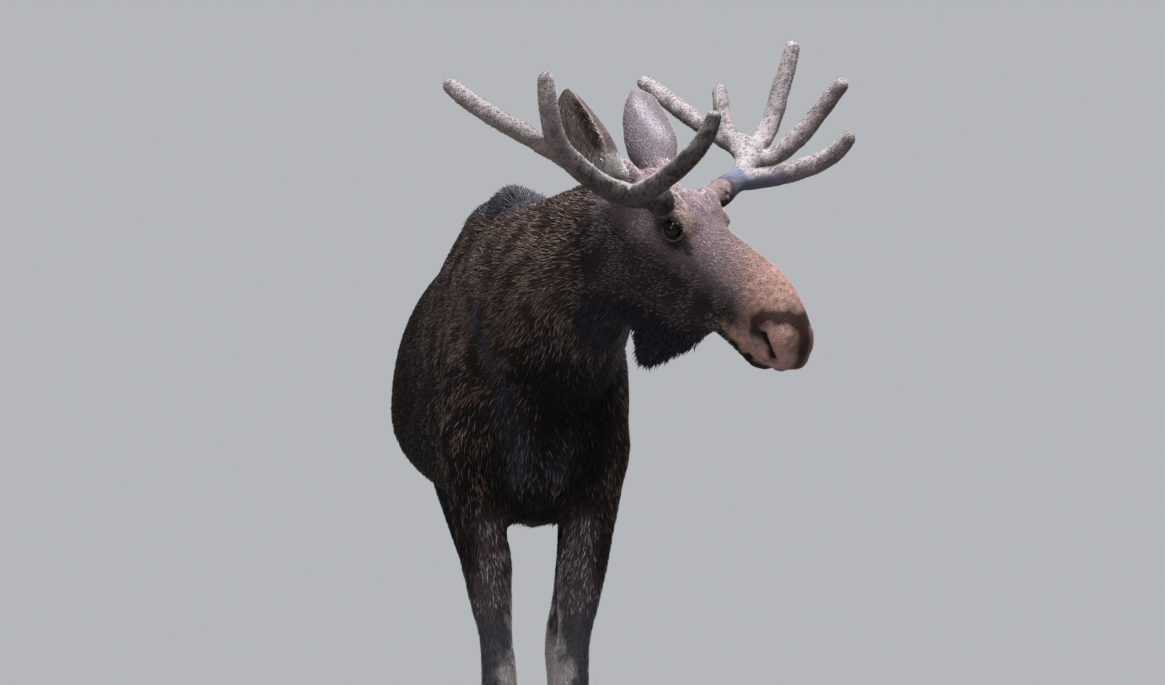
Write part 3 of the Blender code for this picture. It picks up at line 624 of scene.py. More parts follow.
def body_masks(points):
    """The points in head centimetres and in the body's own metres, and each part's mask from 0 to 1."""
    h = to_head(points)
    p = points - SHIFT
    x, y, z = p.T
    mask = {}
    mask["head"] = step(-27, -17, h[:, 0]) * step(-48, -36, h[:, 2]) * step(24, 19, np.abs(h[:, 1]))
    mask["muzzle"] = mask["head"] * step(24, 34, h[:, 0])
    below_chin = step(-17.5, -21, h[:, 2])
    mask["beard"] = mask["head"] * below_chin * step(19, 15, h[:, 0]) * step(9, 6, np.abs(h[:, 1]))
    mask["neck"] = (1 - mask["head"]) * step(-0.02, -0.16, y) * step(1.18, 1.32, z)
    mask["fore"] = step(0.96, 0.86, z) * step(0.45, 0.30, y)
    mask["hind"] = step(1.02, 0.90, z) * step(0.80, 0.95, y)
    mask["shin"] = step(0.68, 0.50, z)
    from_hump = np.hypot((y - 0.2) * 0.8, (z - 1.83) * 2.2)
    mask["hump"] = step(0.42, 0.25, from_hump) * step(0.16, 0.08, abs(x + 0.02))
    mask["breast"] = step(0.30, 0.05, y) * step(1.40, 1.22, z) * (1 - mask["head"])
    mask["tail"] = step(1.575, 1.61, y) * step(0.08, 0.05, np.abs(x - 0.012))
    return h, p, mask


BODY_DEPTH = 0.009  # of the coat, in metres
HUMP_DEPTH = 0.011  # more than on the body
LEG_DEPTH = 0.0055
DEPTHS = {"shin": 0.004, "head": 0.0035, "muzzle": 0.0015, "beard": 0.010}


def coat_depth(points):
    """How deep the coat is: the body's depth, moved towards each part's own depth by its mask."""
    mask = body_masks(points)[2]
    depth = np.full(len(points), BODY_DEPTH)
    depth += HUMP_DEPTH * mask["hump"]
    depth += (LEG_DEPTH - depth) * np.maximum(mask["fore"], mask["hind"])
    for part, own_depth in DEPTHS.items():
        depth += (own_depth - depth) * mask[part]
    return depth


bare = places(skin.data)
place(skin.data, bare - coat_depth(bare)[:, None] * normals_of(skin.data))
print("coat depth from", coat_depth(bare).min() * 1000, "to", coat_depth(bare).max() * 1000, "mm")

# %% [markdown]
# ## Lids, nostrils, mouth and folds
# The face is shaped as a sculptor would, by pushing the skin in and out. Round each eye the skin is
# moved along lines from the eye's centre: behind the ball inside the opening, and just over it at the
# lids. Nostril, mouth and the crease before the eye are grooves: the depth falls off with the distance
# from a short path.

# %% Lids close on the eyes
LID_OPENING = np.array([2.75, 1.66])  # half width and half height, in centimetres
LID_RADIUS = EYE_RADIUS + 0.20  # the lid's edge rides on the ball
LID_SINK = 0.5  # how deep the skin lies behind the ball's front, inside the opening
LID_REACH = 6.0  # how far from the eye's centre the lids are shaped
LID_TILT = math.radians(-14)  # the inner corner lies lower


def eye_frame(mirror):
    """Forward, up and outward directions of the opening between the lids, as rows, in head centimetres."""
    outward = unit(np.array([0.32, mirror * 1.0, 0.10]))
    forward = unit(np.cross(np.array([0.0, 0.0, 1.0]), outward)) * -mirror
    forward = forward * np.sign(forward[0])
    up = np.cross(outward, forward) * -mirror
    up = up * np.sign(up[2])
    turned = forward * math.cos(LID_TILT) + up * math.sin(LID_TILT)
    return np.stack([turned, up * math.cos(LID_TILT) - forward * math.sin(LID_TILT), outward])


def shape_lids(h):
    """Points near each eye moved to the lids' radius: behind the ball where the oval spread is below 1."""
    for eye, mirror in zip(EYE_PLACES, (-1, 1)):
        axes = eye_frame(mirror)
        local = (h - eye) @ axes.T
        radius = np.maximum(np.linalg.norm(local, axis=1), 0.1)
        near = radius < LID_REACH
        across, high, facing = (local / radius[:, None]).T
        spread = np.hypot(across * LID_RADIUS / LID_OPENING[0], high * LID_RADIUS / LID_OPENING[1])
        lid = EYE_RADIUS - LID_SINK + (LID_RADIUS - EYE_RADIUS + LID_SINK) * step(0.90, 1.03, spread)
        lid += (0.12 + 0.24 * step(0.0, 0.5, high)) * step(1.0, 1.35, spread)
        hold = step(0.15, 0.42, facing) * near
        wanted = local * (lid / radius)[:, None]
        local = local + hold[:, None] * (wanted - local)
        h = np.where(near[:, None], eye + local @ axes, h)
    return h


# %% Grooves along short paths


def groove(h, normals, path, width, depth):
    """Push points in near a path on both sides of the head: depth times a bell of the distance."""
    for mirror in (-1, 1):
        line = along(np.array(path) * [1, mirror, 1], 40)
        apart = np.min(np.linalg.norm(h[:, None] - line[None], axis=2), axis=1)
        h = h - normals * (depth * bell(apart, width))[:, None]
    return h


NOSTRIL = [(35.6, 6.6, -9.8), (37.4, 6.6, -11.2), (38.9, 5.9, -12.8), (40.2, 4.9, -14.0)]
MOUTH = [
    (20.5, 4.6, -13.4), (25.0, 4.6, -15.0), (30.0, 4.5, -16.2), (35.0, 4.2, -17.0), (39.0, 3.2, -17.3)
]
MOUTH_FRONT = [(39.0, 3.2, -17.3), (40.6, 1.6, -17.2), (41.0, 0.0, -17.2)]
TEAR_CREASE = [(3.6, 8.9, 3.2), (5.4, 8.3, 2.2), (7.4, 7.8, 1.0)]
CHEEK_EDGE = [(-9.0, 8.0, -13.5), (-4.0, 8.2, -15.0), (3.0, 7.0, -13.6), (8.0, 6.0, -10.5)]
FACE_HOLLOW = [(8.0, 7.4, -2.0), (14.0, 7.0, -4.5), (20.0, 6.4, -6.5)]
TEMPLE = [(-7.0, 9.0, 4.0), (-11.0, 9.0, 2.0)]
NOSE_WRINKLES = [
    [(31.0 + 1.9 * i, 4.2, -0.6 - 1.7 * i), (30.6 + 1.8 * i, 6.6, -3.6 - 1.5 * i)] for i in range(3)
]
GROOVES = [  # path, half width, depth
    (NOSTRIL, 1.05, 2.8),
    (MOUTH, 0.50, 0.90),
    (MOUTH_FRONT, 0.42, 0.7),
    (TEAR_CREASE, 0.50, 0.70),
    (CHEEK_EDGE, 1.6, 0.35),
    (FACE_HOLLOW, 2.4, 0.45),
    (TEMPLE, 2.2, 0.5),
    *[(wrinkle, 0.35, 0.18) for wrinkle in NOSE_WRINKLES],
]
LIP_TIP, LIP_SOFT = (41.0, 0.0, -17.0), 2.6  # where, and how far round, the lips are smoothed again

# %% Shape the face
face = to_head(places(skin.data))
touched = np.flatnonzero(on_the_head(face))
print("shaping", len(touched), "points of the head")
part = shape_lids(face[touched])
face[touched] = part
place(skin.data, on_head(face))
outward = (normals_of(skin.data) @ HEAD_AXES.T)[touched]
for path, width, depth in GROOVES:
    part = groove(part, outward, path, width, depth)
face[touched] = part
lip = bell(np.linalg.norm(face - LIP_TIP, axis=1), LIP_SOFT)
face = relax(face, *links(skin.data), 20, lip[:, None])
place(skin.data, on_head(face))

# %% [markdown]
# ## Ears
# An ear is a leaf bent round its length: at each place along it, an arc outside and the same arc,
# thinner, inside. The bend is tight at the root, where the ear is nearly a tube, and opens towards the
# tip. The two ears are joined to the skin by a Boolean union, so that skin and ears are one surface.

# %% Bend the two ears and join them to the skin
EARS = {  # root, tip, and the way the opening looks, in head centimetres
    "left": ((-20.5, 7.6, 10.6), (-41.1, 16.0, 24.2), (-0.11, 0.75, -0.65)),
    "right": ((-19.5, -7.6, 10.9), (-30.2, -26.0, 30.0), (0.27, -0.72, -0.64)),
}
EAR_WIDTHS = [  # share of the way up, half width
    (0.0, 3.5), (0.15, 4.9), (0.4, 6.7), (0.6, 6.5), (0.8, 5.3), (0.93, 3.5), (0.98, 2.0), (1.0, 1.0)
]
EAR_WRAP = [(0.0, 150), (0.25, 125), (0.5, 95), (0.8, 75), (1.0, 60)]  # half the bend, in degrees
EAR_THICKNESS = 0.8
EAR_BOW = 1.2  # how far the middle of the ear stands back from the line root to tip
EAR_FUR = 0.15  # depth of the fur on either side of the leaf
EAR_TIGHTEST = 0.3  # the smallest radius of the inside
EAR_RIPPLE = 0.10  # how far the edges wave
EAR_ROWS, EAR_COLUMNS = 46, 31


def closed_sheet(outer, inner):
    """Two grids of points, one inside the other, joined round their four borders."""
    n, m = outer.shape[:2]
    number = np.arange(n * m).reshape(n, m)

    def quads(a, b):
        """Quads between two rows of point numbers."""
        return np.stack([a[:-1], a[1:], b[1:], b[:-1]], -1).reshape(-1, 4)

    front = [quads(number[i], number[i + 1]) for i in range(n - 1)]
    back = [quads(number[i + 1], number[i]) + n * m for i in range(n - 1)]
    rim = np.concatenate([number[0, :-1], number[:-1, -1], number[-1, :0:-1], number[::-1, 0]])
    rim = np.stack([rim[:-1], rim[:-1] + n * m, rim[1:] + n * m, rim[1:]], -1)
    points = np.concatenate([outer.reshape(-1, 3), inner.reshape(-1, 3)])
    return points, [np.concatenate(front + back + [rim])]


def ear_frame(side):
    """Root, tip, and the along, across and looking directions of an ear."""
    root, tip, look = (np.array(v) for v in EARS[side])
    course = unit(tip - root)
    look = unit(look - course * (look @ course))
    return root, tip, course, np.cross(course, look), look


def ear(side):
    """The leaf: arcs whose radius is the width over the sine of the bend, carried from root to tip."""
    root, tip, _, across, look = ear_frame(side)
    s = np.linspace(0, 0.995, EAR_ROWS)
    width = read(EAR_WIDTHS, s) - EAR_FUR
    wrap = np.radians(read(EAR_WRAP, s))
    radius = width / np.sin(np.minimum(wrap, math.pi / 2))
    spine = root + (tip - root) * s[:, None] - look * EAR_BOW * np.sin(math.pi * s[:, None])
    swing = np.linspace(-1, 1, EAR_COLUMNS)
    angle = wrap * swing
    thick = (EAR_THICKNESS - 2 * EAR_FUR) * (1 - 0.5 * np.abs(swing) ** 3) * np.minimum(1, 1.2 - s[:, None])

    def arc(r):
        """Points at this radius round the middle line of the bend."""
        out = np.sin(angle)[..., None] * across * r[..., None]
        out = out - look * (r * np.cos(angle))[..., None]
        return on_head(out + (spine + look * radius)[:, None])

    ripple = EAR_RIPPLE * np.sin(9 * math.pi * s[:, None] + 5 * swing) * np.abs(swing) ** 4
    outside = radius - EAR_FUR
    inside = np.maximum(outside - thick, EAR_TIGHTEST)
    return closed_sheet(arc(outside + ripple), arc(inside + ripple))


def unite(thing, other):
    """Boolean union; the other object is removed."""
    work = bmesh.new()
    work.from_mesh(other.data)
    bmesh.ops.remove_doubles(work, verts=work.verts, dist=1e-6)
    bmesh.ops.recalc_face_normals(work, faces=work.faces)
    work.to_mesh(other.data)
    work.free()
    union = thing.modifiers.new("union", "BOOLEAN")
    union.operation = "UNION"
    union.solver = "EXACT"
    union.object = other
    settle(thing)
    bpy.data.objects.remove(other)


for side in EARS:
    unite(skin, piece(f"ear_{side}_leaf", *ear(side)))
skin.data.shade_smooth()
print("skin with ears:", len(skin.data.polygons), "faces")

# %% [markdown]
# ## The lie of the coat
# Hair does not stand straight out. On a moose it lies back and down: backwards along the face, down and
# back over the neck and the ribs, straight down the legs, and up the ears to their tips, inside them
# also from the edges to the middle. So every point of the skin gets a direction, mixed from the masks,
# laid flat on the surface and made to wander a little, as no coat lies in rows.

# %% Where a point lies on an ear
EAR_REACH, EAR_NEAR = 1.6, 0.9  # a point counts as ear from the first distance on, fully at the second


def on_ears(h, normals):
    """For each point: how surely it is on an ear, its share of the way up, how far it faces in, its place
    across the leaf from -1 to 1, and the way the hair grows there: up, and inside also to the middle."""
    sure, share, inward, swing = np.zeros((4, len(h)))
    ways = np.zeros_like(h)
    normals = normals @ HEAD_AXES.T
    for side in EARS:
        root, tip, course, across, look = ear_frame(side)
        s = (h - root) @ course / np.linalg.norm(tip - root)
        t = np.clip(s, 0, 1)
        wrap = np.radians(read(EAR_WRAP, t)[:, 0])
        radius = read(EAR_WIDTHS, t)[:, 0] / np.sin(np.minimum(wrap, math.pi / 2))
        middle = root + (tip - root) * t[:, None] - look * (EAR_BOW * np.sin(math.pi * t) - radius)[:, None]
        arm = h - middle
        arm -= course * (arm @ course)[:, None]
        distance = np.maximum(np.linalg.norm(arm, axis=1), 0.01)
        near_leaf = step(EAR_REACH, EAR_NEAR, np.abs(distance - radius + EAR_THICKNESS / 2))
        here = step(0.03, 0.12, s) * step(1.12, 1.03, s) * near_leaf
        facing = -np.sum(arm / distance[:, None] * normals, axis=1)
        inside = step(-0.1, 0.5, facing)
        bend = np.clip(np.arctan2(arm @ across, -(arm @ look)) / wrap, -1, 1)
        growth = course - across * (0.9 * inside * bend)[:, None]
        won = here > sure
        sure = np.where(won, here, sure)
        share = np.where(won, t, share)
        inward = np.where(won, inside, inward)
        swing = np.where(won, bend, swing)
        ways = np.where(won[:, None], growth @ HEAD_AXES, ways)
    return sure, share, inward, swing, ways


# %% Smooth noise, and the direction of the hair
SINES = 14


def waves(points, length, seed):
    """Smooth noise of about unit size: a sum of sines along random directions, near this wave length."""
    draw = np.random.default_rng(seed)
    course = unit(draw.normal(size=(SINES, 3))) * draw.uniform(0.7, 1.4, (SINES, 1)) * 2 * math.pi / length
    return np.sin(points @ course.T + draw.uniform(0, 2 * math.pi, SINES)).sum(1) * math.sqrt(2 / SINES)


def laid_flat(ways, normals):
    """Unit directions of what is left of the ways when their part along the normals is taken off."""
    return unit(ways - normals * np.sum(ways * normals, axis=1, keepdims=True) + 1e-6)


def lie(points, normals):
    """Unit directions along the surface in which the hair lies."""
    h, p, mask = body_masks(points)
    x, y, z = p.T
    forward, _, up = HEAD_AXES
    fall = 0.25 + 0.45 * step(1.70, 1.30, z) - 0.45 * step(1.15, 1.00, z)
    way = np.stack([0.9 * np.clip(x / 0.25, -1, 1) * step(1.60, 1.75, z), 1 + 0 * x, -fall], -1)

    def turn_to(direction, share):
        """The way so far, moved towards another direction by the share."""
        return way + (np.asarray(direction) - way) * np.reshape(share, (-1, 1))

    way = turn_to((0.0, 0.30, -1.0), step(1.05, 1.40, y))
    way = turn_to((0.0, 0.35, -1.0), step(0.30, 0.10, y) * step(1.55, 1.25, z))
    down = 0.15 + 0.75 * step(1.72, 1.35, z)
    way = turn_to(np.stack([-0.25 + 0 * x, 0.9 + 0 * x, -down], -1), mask["neck"])
    way = turn_to((0.0, 0.15, -1.0), mask["breast"] * 0.8)
    way = turn_to((0.0, 0.10, -1.0), np.maximum(mask["fore"], mask["hind"]))
    cheek = step(4, -8, h[:, 2])
    way = turn_to(-forward * 1.0 - up * (0.1 + 0.5 * cheek)[:, None], mask["head"])
    way = turn_to(-forward * 0.25 - up, mask["beard"])
    way = turn_to((0.0, 0.12, -1.0), mask["tail"])
    sure, _, _, _, growth = on_ears(h, normals)
    way = laid_flat(turn_to(growth, sure), normals)
    ruffle = 0.18 + 0.75 * step(9, 4, np.linalg.norm((h - [-5, 0, 11]) / [1.0, 0.9, 0.8], axis=1))
    angle = ruffle * (0.7 * waves(points, 0.16, 11) + 0.5 * waves(points, 0.045, 12))
    aside = np.cross(normals, way)
    return way * np.cos(angle)[:, None] + aside * np.sin(angle)[:, None]


# %% [markdown]
# ## Colours
# The coat is almost black, with a brown bloom on neck and shoulders, a painted sky sheen on hump and breast,
# and painted shade on the breast and under the belly.
# The face is a warm grey-brown that pales over the nose, with a dark band above the nostrils, dark
# cheeks, a tan arch over the eye and a black chin. The forelegs are grizzled above the knee and steel
# grey below it, and all legs are pale inside and behind. The marks are tints laid over each other in
# turn, each with a share that changes from place to place. One function gives the colour of any point,
# so the skin and the hair that grows from it always agree.

# %% Named colours, linear red, green and blue
BODY = (0.0165, 0.0100, 0.0090)
NECK_BROWN = (0.0400, 0.0250, 0.0225)
NAPE = (0.1300, 0.1050, 0.1220)
# Black of the breast, also painted shade on the breast and under the belly.
BREAST_BLACK_AND_SHADE = (0.0050, 0.0044, 0.0066)
# A painted sky sheen, blue-grey, on the breast.
PAINTED_BREAST_SHEEN = (0.0380, 0.0340, 0.0440)
# A painted sky sheen on top of the hump.
PAINTED_HUMP_SHEEN = (0.0400, 0.0365, 0.0500)
FOREARM = (0.0920, 0.0640, 0.0700)
SHIN_DARK = (0.0820, 0.0780, 0.0930)
LEG_PALE = (0.6200, 0.5550, 0.5500)
FACE = (0.1320, 0.0930, 0.0980)
FACE_PALE = (0.2300, 0.1700, 0.1750)
CHEEK_DARK = (0.0105, 0.0080, 0.0086)
TEMPLE_MAUVE = (0.0900, 0.0680, 0.0740)
FOREHEAD = (0.3700, 0.2800, 0.3000)
NOSE_TAN = (0.3200, 0.1850, 0.1600)
NOSE_PINK = (0.3300, 0.1850, 0.1550)
NOSE_DARK = (0.0310, 0.0130, 0.0085)
LIP_TAN = (0.3200, 0.1800, 0.1300)
LIP_PALE = (0.3800, 0.2800, 0.2800)
# Black skin, also painted into the nostril's opening as shade.
BLACK_SKIN_AND_SHADE = (0.0090, 0.0065, 0.0070)
BROW_TAN = (0.3700, 0.2550, 0.2250)
BURR_BROWN = (0.0240, 0.0160, 0.0145)
BURR_MAUVE = (0.2000, 0.1400, 0.1400)
LID_PALE = (0.3300, 0.2400, 0.2200)
EAR_BACK = (0.1700, 0.1350, 0.1520)
EAR_BROWN = (0.1250, 0.0860, 0.0800)
EAR_INSIDE = (0.4400, 0.3600, 0.3500)
# Painted shade deep in an ear's hollow.
EAR_HOLLOW_SHADE = (0.0700, 0.0500, 0.0470)
EAR_RIM = (0.4600, 0.3500, 0.3050)
# A painted sheen streak on the back of an ear.
EAR_PAINTED_SHEEN = (0.3600, 0.3250, 0.3600)
EAR_WHITE = (0.7800, 0.7200, 0.7000)
BEARD_BLACK = (0.0175, 0.0160, 0.0240)
GOLD = (0.2800, 0.1950, 0.1680)
LAVENDER = (0.3000, 0.2350, 0.2500)
# The colour of painted sky sheen on single tufts.
PAINTED_SHEEN_FLECK = (0.1350, 0.1230, 0.1530)

# Courses of the marks on the left half of the head, in head centimetres.
BROW_PATH = [(-4.4, 9.3, 8.6), (0.2, 9.4, 9.0), (4.2, 8.6, 7.8), (6.8, 7.8, 5.4)]
NOSE_BAND = [
    (31.4, 6.4, -8.4), (33.8, 6.4, -5.6), (36.6, 5.6, -4.0), (39.0, 3.6, -3.5), (40.8, 1.4, -4.0)
]
NOSE_STRIP = [(41.4, 0.0, -4.6), (43.4, 0.0, -7.5), (44.2, 0.0, -10.5), (43.8, 0.0, -13.0)]
NOSE_WING = [(39.4, 6.8, -8.0), (40.6, 6.6, -10.4), (42.0, 5.4, -12.0)]
UPPER_LIP = [
    (22.5, 4.2, -13.2), (26.5, 4.5, -14.4), (30.5, 4.9, -15.2), (34.0, 4.9, -15.8), (37.0, 4.9, -15.8)
]
THROAT_LATCH = [
    (-21.5, 9.4, -5.5), (-21.8, 9.8, -10.0), (-21.1, 9.8, -14.0), (-17.7, 7.4, -23.4), (-16.1, 3.0, -28.5)
]
LATCH_WIDTH = 4.2
EAR_FOOT = [(-16.0, 18.5, 15.3), (-16.1, 15.7, 14.7), (-16.7, 12.4, 13.8)]
BEHIND_EAR = [(-23.5, 7.6, 3.0), (-22.5, 8.0, -0.5), (-18.5, 9.2, -4.5)]
# Course of the painted sky sheen.
PAINTED_SHEEN_BAND = [  # down the front of a shoulder, in metres
    (0.152, -0.194, 1.541), (0.125, -0.207, 1.441), (0.067, -0.195, 1.299), (0.052, -0.190, 1.150)
]
NOSTRIL_INSIDE = np.array(NOSTRIL) - [0.6, 1.4, 0.0]  # the path of the nostril, sunk in the groove
NOSTRIL_WIDTH = 1.25


# %% Markings of face and ears


def near_path(h, path, width, strength=1.0, most=1.0):
    """A bell of the distance from a path, which is drawn on the left and serves both sides."""
    line = along(np.array(path, float), 24)
    folded = h * [1, 0, 1] + np.abs(h) * [0, 1, 0]
    apart = np.min(np.linalg.norm(folded[:, None] - line[None], axis=2), axis=1)
    return bell(apart, width, strength, most)


def near_spot(h, spot, width, strength=1.0, most=1.0):
    """The same bell round one spot."""
    folded = h * [1, 0, 1] + np.abs(h) * [0, 1, 0]
    return bell(np.linalg.norm(folded - spot, axis=1), width, strength, most)


def tinted(hue, *layers):
    """Pairs of a colour and a share, each moving the colours so far towards its own by its share."""
    for colour, share in layers:
        hue = hue + (np.array(colour) - hue) * share[:, None]
    return hue


def plain(colour, count):
    """The same colour for this many points."""
    return np.tile(np.array(colour), (count, 1))


def face_hue(h, base):
    """The face's markings, from the crown to the chin, laid over the base colour, with wavering edges."""
    away = eye_distance(h)
    h = h + 0.40 * np.stack([waves(h, 4.5, 24), 0 * h[:, 1], waves(h, 4.5, 25)], -1)
    x, _, z = h.T
    top = z + 0.30 * np.maximum(x - 12, 0) + 0.5 * np.maximum(x - 32, 0)
    hue = tinted(
        base,
        (CHEEK_DARK, 0.92 * step(1.5, -7.0, z + 0.16 * x) * step(30, 23, x)),
        (FACE_PALE, 0.45 * step(-3, 4, z + 0.2 * x) * step(2, 8, x) * step(30, 20, x)),
        (TEMPLE_MAUVE, 0.8 * near_spot(h, (-8, 8.6, 2.5), 6)),
        (FOREHEAD, 0.75 * step(7, 10, z) * step(4.5, -1.0, x)),
        (NOSE_TAN, step(9, 30, x) * step(-1.5, 6.5, top + 0.9 * waves(h, 6.0, 23))),
        (NOSE_TAN, 0.8 * step(24, 31, x) * step(-16, -11, z)),
        (NOSE_PINK, 0.8 * step(-7, -9, z) * step(35, 38, x)),
    )
    hue = hue * (1 + 0.16 * waves(h, 2.2, 26) * step(20, 28, x))[:, None]
    mouth_height = np.interp(x, [point[0] for point in MOUTH], [point[2] for point in MOUTH])
    over_eye = z - EYE_CENTRE[2]
    return tinted(
        hue,
        (NOSE_DARK, near_path(h, NOSE_BAND, 1.9, 1.7, 0.96)),
        (NOSE_DARK, near_path(h, NOSE_STRIP, 2.3, 1.5, 0.95)),
        (NOSE_PINK, near_path(h, NOSE_WING, 1.5, 1.3, 0.9)),
        (LIP_TAN, near_path(h, UPPER_LIP, 1.4, 1.4, 0.95)),
        (LIP_PALE, 0.8 * near_spot(h, (43.4, 3.6, -13.0), 2.0)),
        (LIP_PALE, 0.6 * near_spot(h, (38.6, 3.4, -16.6), 1.5)),
        (BLACK_SKIN_AND_SHADE, near_spot(h, (33.4, 6.4, -9.6), 1.9, 1.2, 0.9)),
        (BLACK_SKIN_AND_SHADE, step(0.0, -0.7, z - mouth_height) * step(19, 24, x)),
        # Painted shade: the nostril's opening is painted black.
        (BLACK_SKIN_AND_SHADE, near_path(h, NOSTRIL_INSIDE, NOSTRIL_WIDTH, 1.7)),
        (BURR_BROWN, near_spot(h, (-3.2, 11.0, 10.0), 2.9, 1.5)),
        (BROW_TAN, near_path(h, BROW_PATH, 1.5, 1.3, 0.95)),
        (CHEEK_DARK, 0.90 * step(6.0, 3.4, away) * step(2.0, -0.2, over_eye + 0.25 * (x - 1))),
        (BLACK_SKIN_AND_SHADE, near_path(h, TEAR_CREASE, 1.1, 1.3, 0.95)),
        (BLACK_SKIN_AND_SHADE, near_spot(h, (3.2, 8.5, 0.9), 1.6, 1.4, 0.95)),
        (BLACK_SKIN_AND_SHADE, step(3.3, 2.9, away)),
        (LID_PALE, 0.5 * step(3.5, 3.25, away) * step(2.95, 3.15, away) * step(-1.1, -1.7, over_eye)),
    )


def ear_hue(h, normals, base):
    """Grey-mauve backs, the left one with a painted sheen streak, insides with painted shade deep in the
    hollow, tan rims and tips, and pale hair at the foot of the opening.
    """
    sure, share, inward, swing, _ = on_ears(h, normals)
    streak = np.sin(23 * swing + 2.5 * waves(h, 9.0, 27))
    # Painted shade deep in the ear's hollow, streaked along the hairs.
    hollow_shade = step(0.62, 0.08, np.abs(swing) + 0.10 * streak) * step(0.95, 0.75, share)
    # A painted sheen streak down the ear's back.
    sheen = bell(swing + 0.62 - 0.8 * share, 0.20) * step(0.15, 0.45, share) * step(0.98, 0.80, share)
    return tinted(
        base,
        (EAR_BACK, sure),
        # Painted sheen, on the left ear only.
        (EAR_PAINTED_SHEEN, 0.8 * sure * (h[:, 1] > 0) * sheen),
        (EAR_BROWN, 0.7 * sure * (h[:, 1] < 0)),
        (EAR_INSIDE, sure * inward),
        # Painted shade in the hollow.
        (EAR_HOLLOW_SHADE, 0.95 * sure * inward * hollow_shade),
        (EAR_RIM, 0.9 * sure * step(0.82, 0.97, np.abs(swing))),
        (EAR_RIM, 0.2 * sure * step(0.86, 0.97, share) * (1 - inward)),
        (EAR_WHITE, 0.8 * sure * inward * step(0.34, 0.18, share)),
        (EAR_WHITE, near_path(h, EAR_FOOT, 2.1, 1.6, 0.85)),
    )


# %% Shares of breast, shoulders and legs


def breast_share(p):
    """How black the breast is: most in the middle, between the shoulders and down to the legs; partly its own
    black hair and partly painted shade down between the forelegs.
    """
    x, y, z = p.T
    across = np.abs(x - 0.15 * (z - 1.0)) + 0.09 * step(1.18, 0.96, z)
    return step(0.25, -0.02, y) * step(1.56, 1.38, z) * step(0.20, 0.11, across) * step(0.86, 0.92, z)


def painted_sheen_share(p):
    """A painted sheen, the sky's blue-grey reflection, down the front of each shoulder to the breast, only
    low down on the left.
    """
    folded = np.abs(p) * [1, 0, 0] + p * [0, 1, 1]
    line = along(np.array(PAINTED_SHEEN_BAND), 16)
    apart = np.min(np.linalg.norm(folded[:, None] - line[None], axis=2), axis=1)
    return bell(apart, 0.05) * np.where(p[:, 0] > 0, step(1.30, 1.15, p[:, 2]), 1.0)


def arm_share(p, mask):
    """The forelegs, from where they leave the breast; their outer side is left dark at the top."""
    x, y, z = p.T
    aside = np.abs(x)
    upper = step(0.05, 0.10, aside) * step(0.19, 0.14, aside) * step(1.10, 0.97, z) * step(0.16, 0.06, y)
    lighter = step(0.165, 0.125, aside - 0.03 * step(0.9, 0.7, z))
    return np.maximum(upper, mask["fore"]) * (0.35 + 0.65 * lighter)


def pale_share(points, p):
    """Where legs are pale: along the inner edge, over the inside of the shin, and down the back."""
    x, y, z = p.T
    fore = y < BETWEEN_LEGS
    middle = np.where(fore, FORE_ASIDE, HIND_ASIDE) * np.sign(x) + np.where(fore, 0.0, HIND_SHIFT)
    across = (x - middle) * np.sign(x) + 0.006 * waves(points, 0.05, 22)
    edge = step(-0.010, -0.032, across) * step(0.92, 0.76, z)
    inside = step(0.020, -0.012, across) * step(0.68, 0.62, z)
    behind = step(0.0, 0.030, y - np.where(fore, 0.008, 1.35)) * step(0.82, 0.64, z)
    return np.clip(np.maximum(np.maximum(0.95 * edge, inside), 0.75 * behind), 0, 1)


# %% One colour for any point of skin or coat


def coat_hue(points, normals):
    """The colour of the coat at these points: body, neck and legs, then the head's own markings."""
    h, p, mask = body_masks(points)
    _, y, z = p.T
    arm = arm_share(p, mask)
    knee = step(0.88, 0.74, z + 0.022 * waves(points, 0.07, 28))
    hue = tinted(
        plain(BODY, len(p)) * (1 + 0.22 * waves(points, 0.5, 21))[:, None],
        (NECK_BROWN, step(0.50, 0.05, y) * step(1.25, 1.65, z)),
        # Partly the breast's black hair and partly painted shade between the forelegs.
        (BREAST_BLACK_AND_SHADE, 0.95 * breast_share(p)),
        # Painted sky sheen down the front of the shoulders.
        (PAINTED_BREAST_SHEEN, 0.55 * painted_sheen_share(p)),
        (BREAST_BLACK_AND_SHADE, 0.9 * near_path(h, THROAT_LATCH, LATCH_WIDTH)),
        (NAPE, 0.8 * near_path(h, BEHIND_EAR, 2.8)),
        # Painted shade on the lower body, under the belly.
        (BREAST_BLACK_AND_SHADE, 0.8 * step(1.20, 1.06, z) * step(0.10, 0.30, y)),
        # Painted sky sheen on top of the hump.
        (PAINTED_HUMP_SHEEN, 0.8 * mask["hump"] * step(1.74, 1.83, z)),
        (FOREARM, arm),
        (SHIN_DARK, np.maximum(arm, mask["hind"]) * knee),
        (LEG_PALE, 0.85 * pale_share(points, p) * np.maximum(mask["fore"], mask["hind"])),
        (SHIN_DARK, 0.7 * step(0.13, 0.09, z)),
    )
    headed = np.flatnonzero(mask["head"] > 0)
    local = face_hue(h[headed], plain(FACE, len(headed)))
    hue[headed] += (local - hue[headed]) * mask["head"][headed, None]
    return ear_hue(h, normals, tinted(hue, (BEARD_BLACK, mask["beard"])))


def set_hue(thing, colours):
    """Keep a colour for every point of the mesh, for the material to read."""
    layer = thing.data.color_attributes.new("hue", "FLOAT_COLOR", "POINT")
    values = np.column_stack([colours, np.ones(len(colours))]).astype(np.float32)
    layer.data.foreach_set("color", values.ravel())


UNDER_COAT = 0.7  # the skin between the tufts is darker than they are
skin_hue = coat_hue(places(skin.data), normals_of(skin.data)) * UNDER_COAT
set_hue(skin, skin_hue)
print("skin colours for", len(skin_hue), "points")

# %% [markdown]
# ## Materials
# Hair, skin, velvet and horn all have a fine grain, which the same shader group makes: it varies the
# colour a little with a noise and hands out the noise's height for a bump. Each material gives it a
# vector stretched its own way, a size and a contrast. Colours come from the values kept at the points.

# %% Helpers for node trees, and the grain group


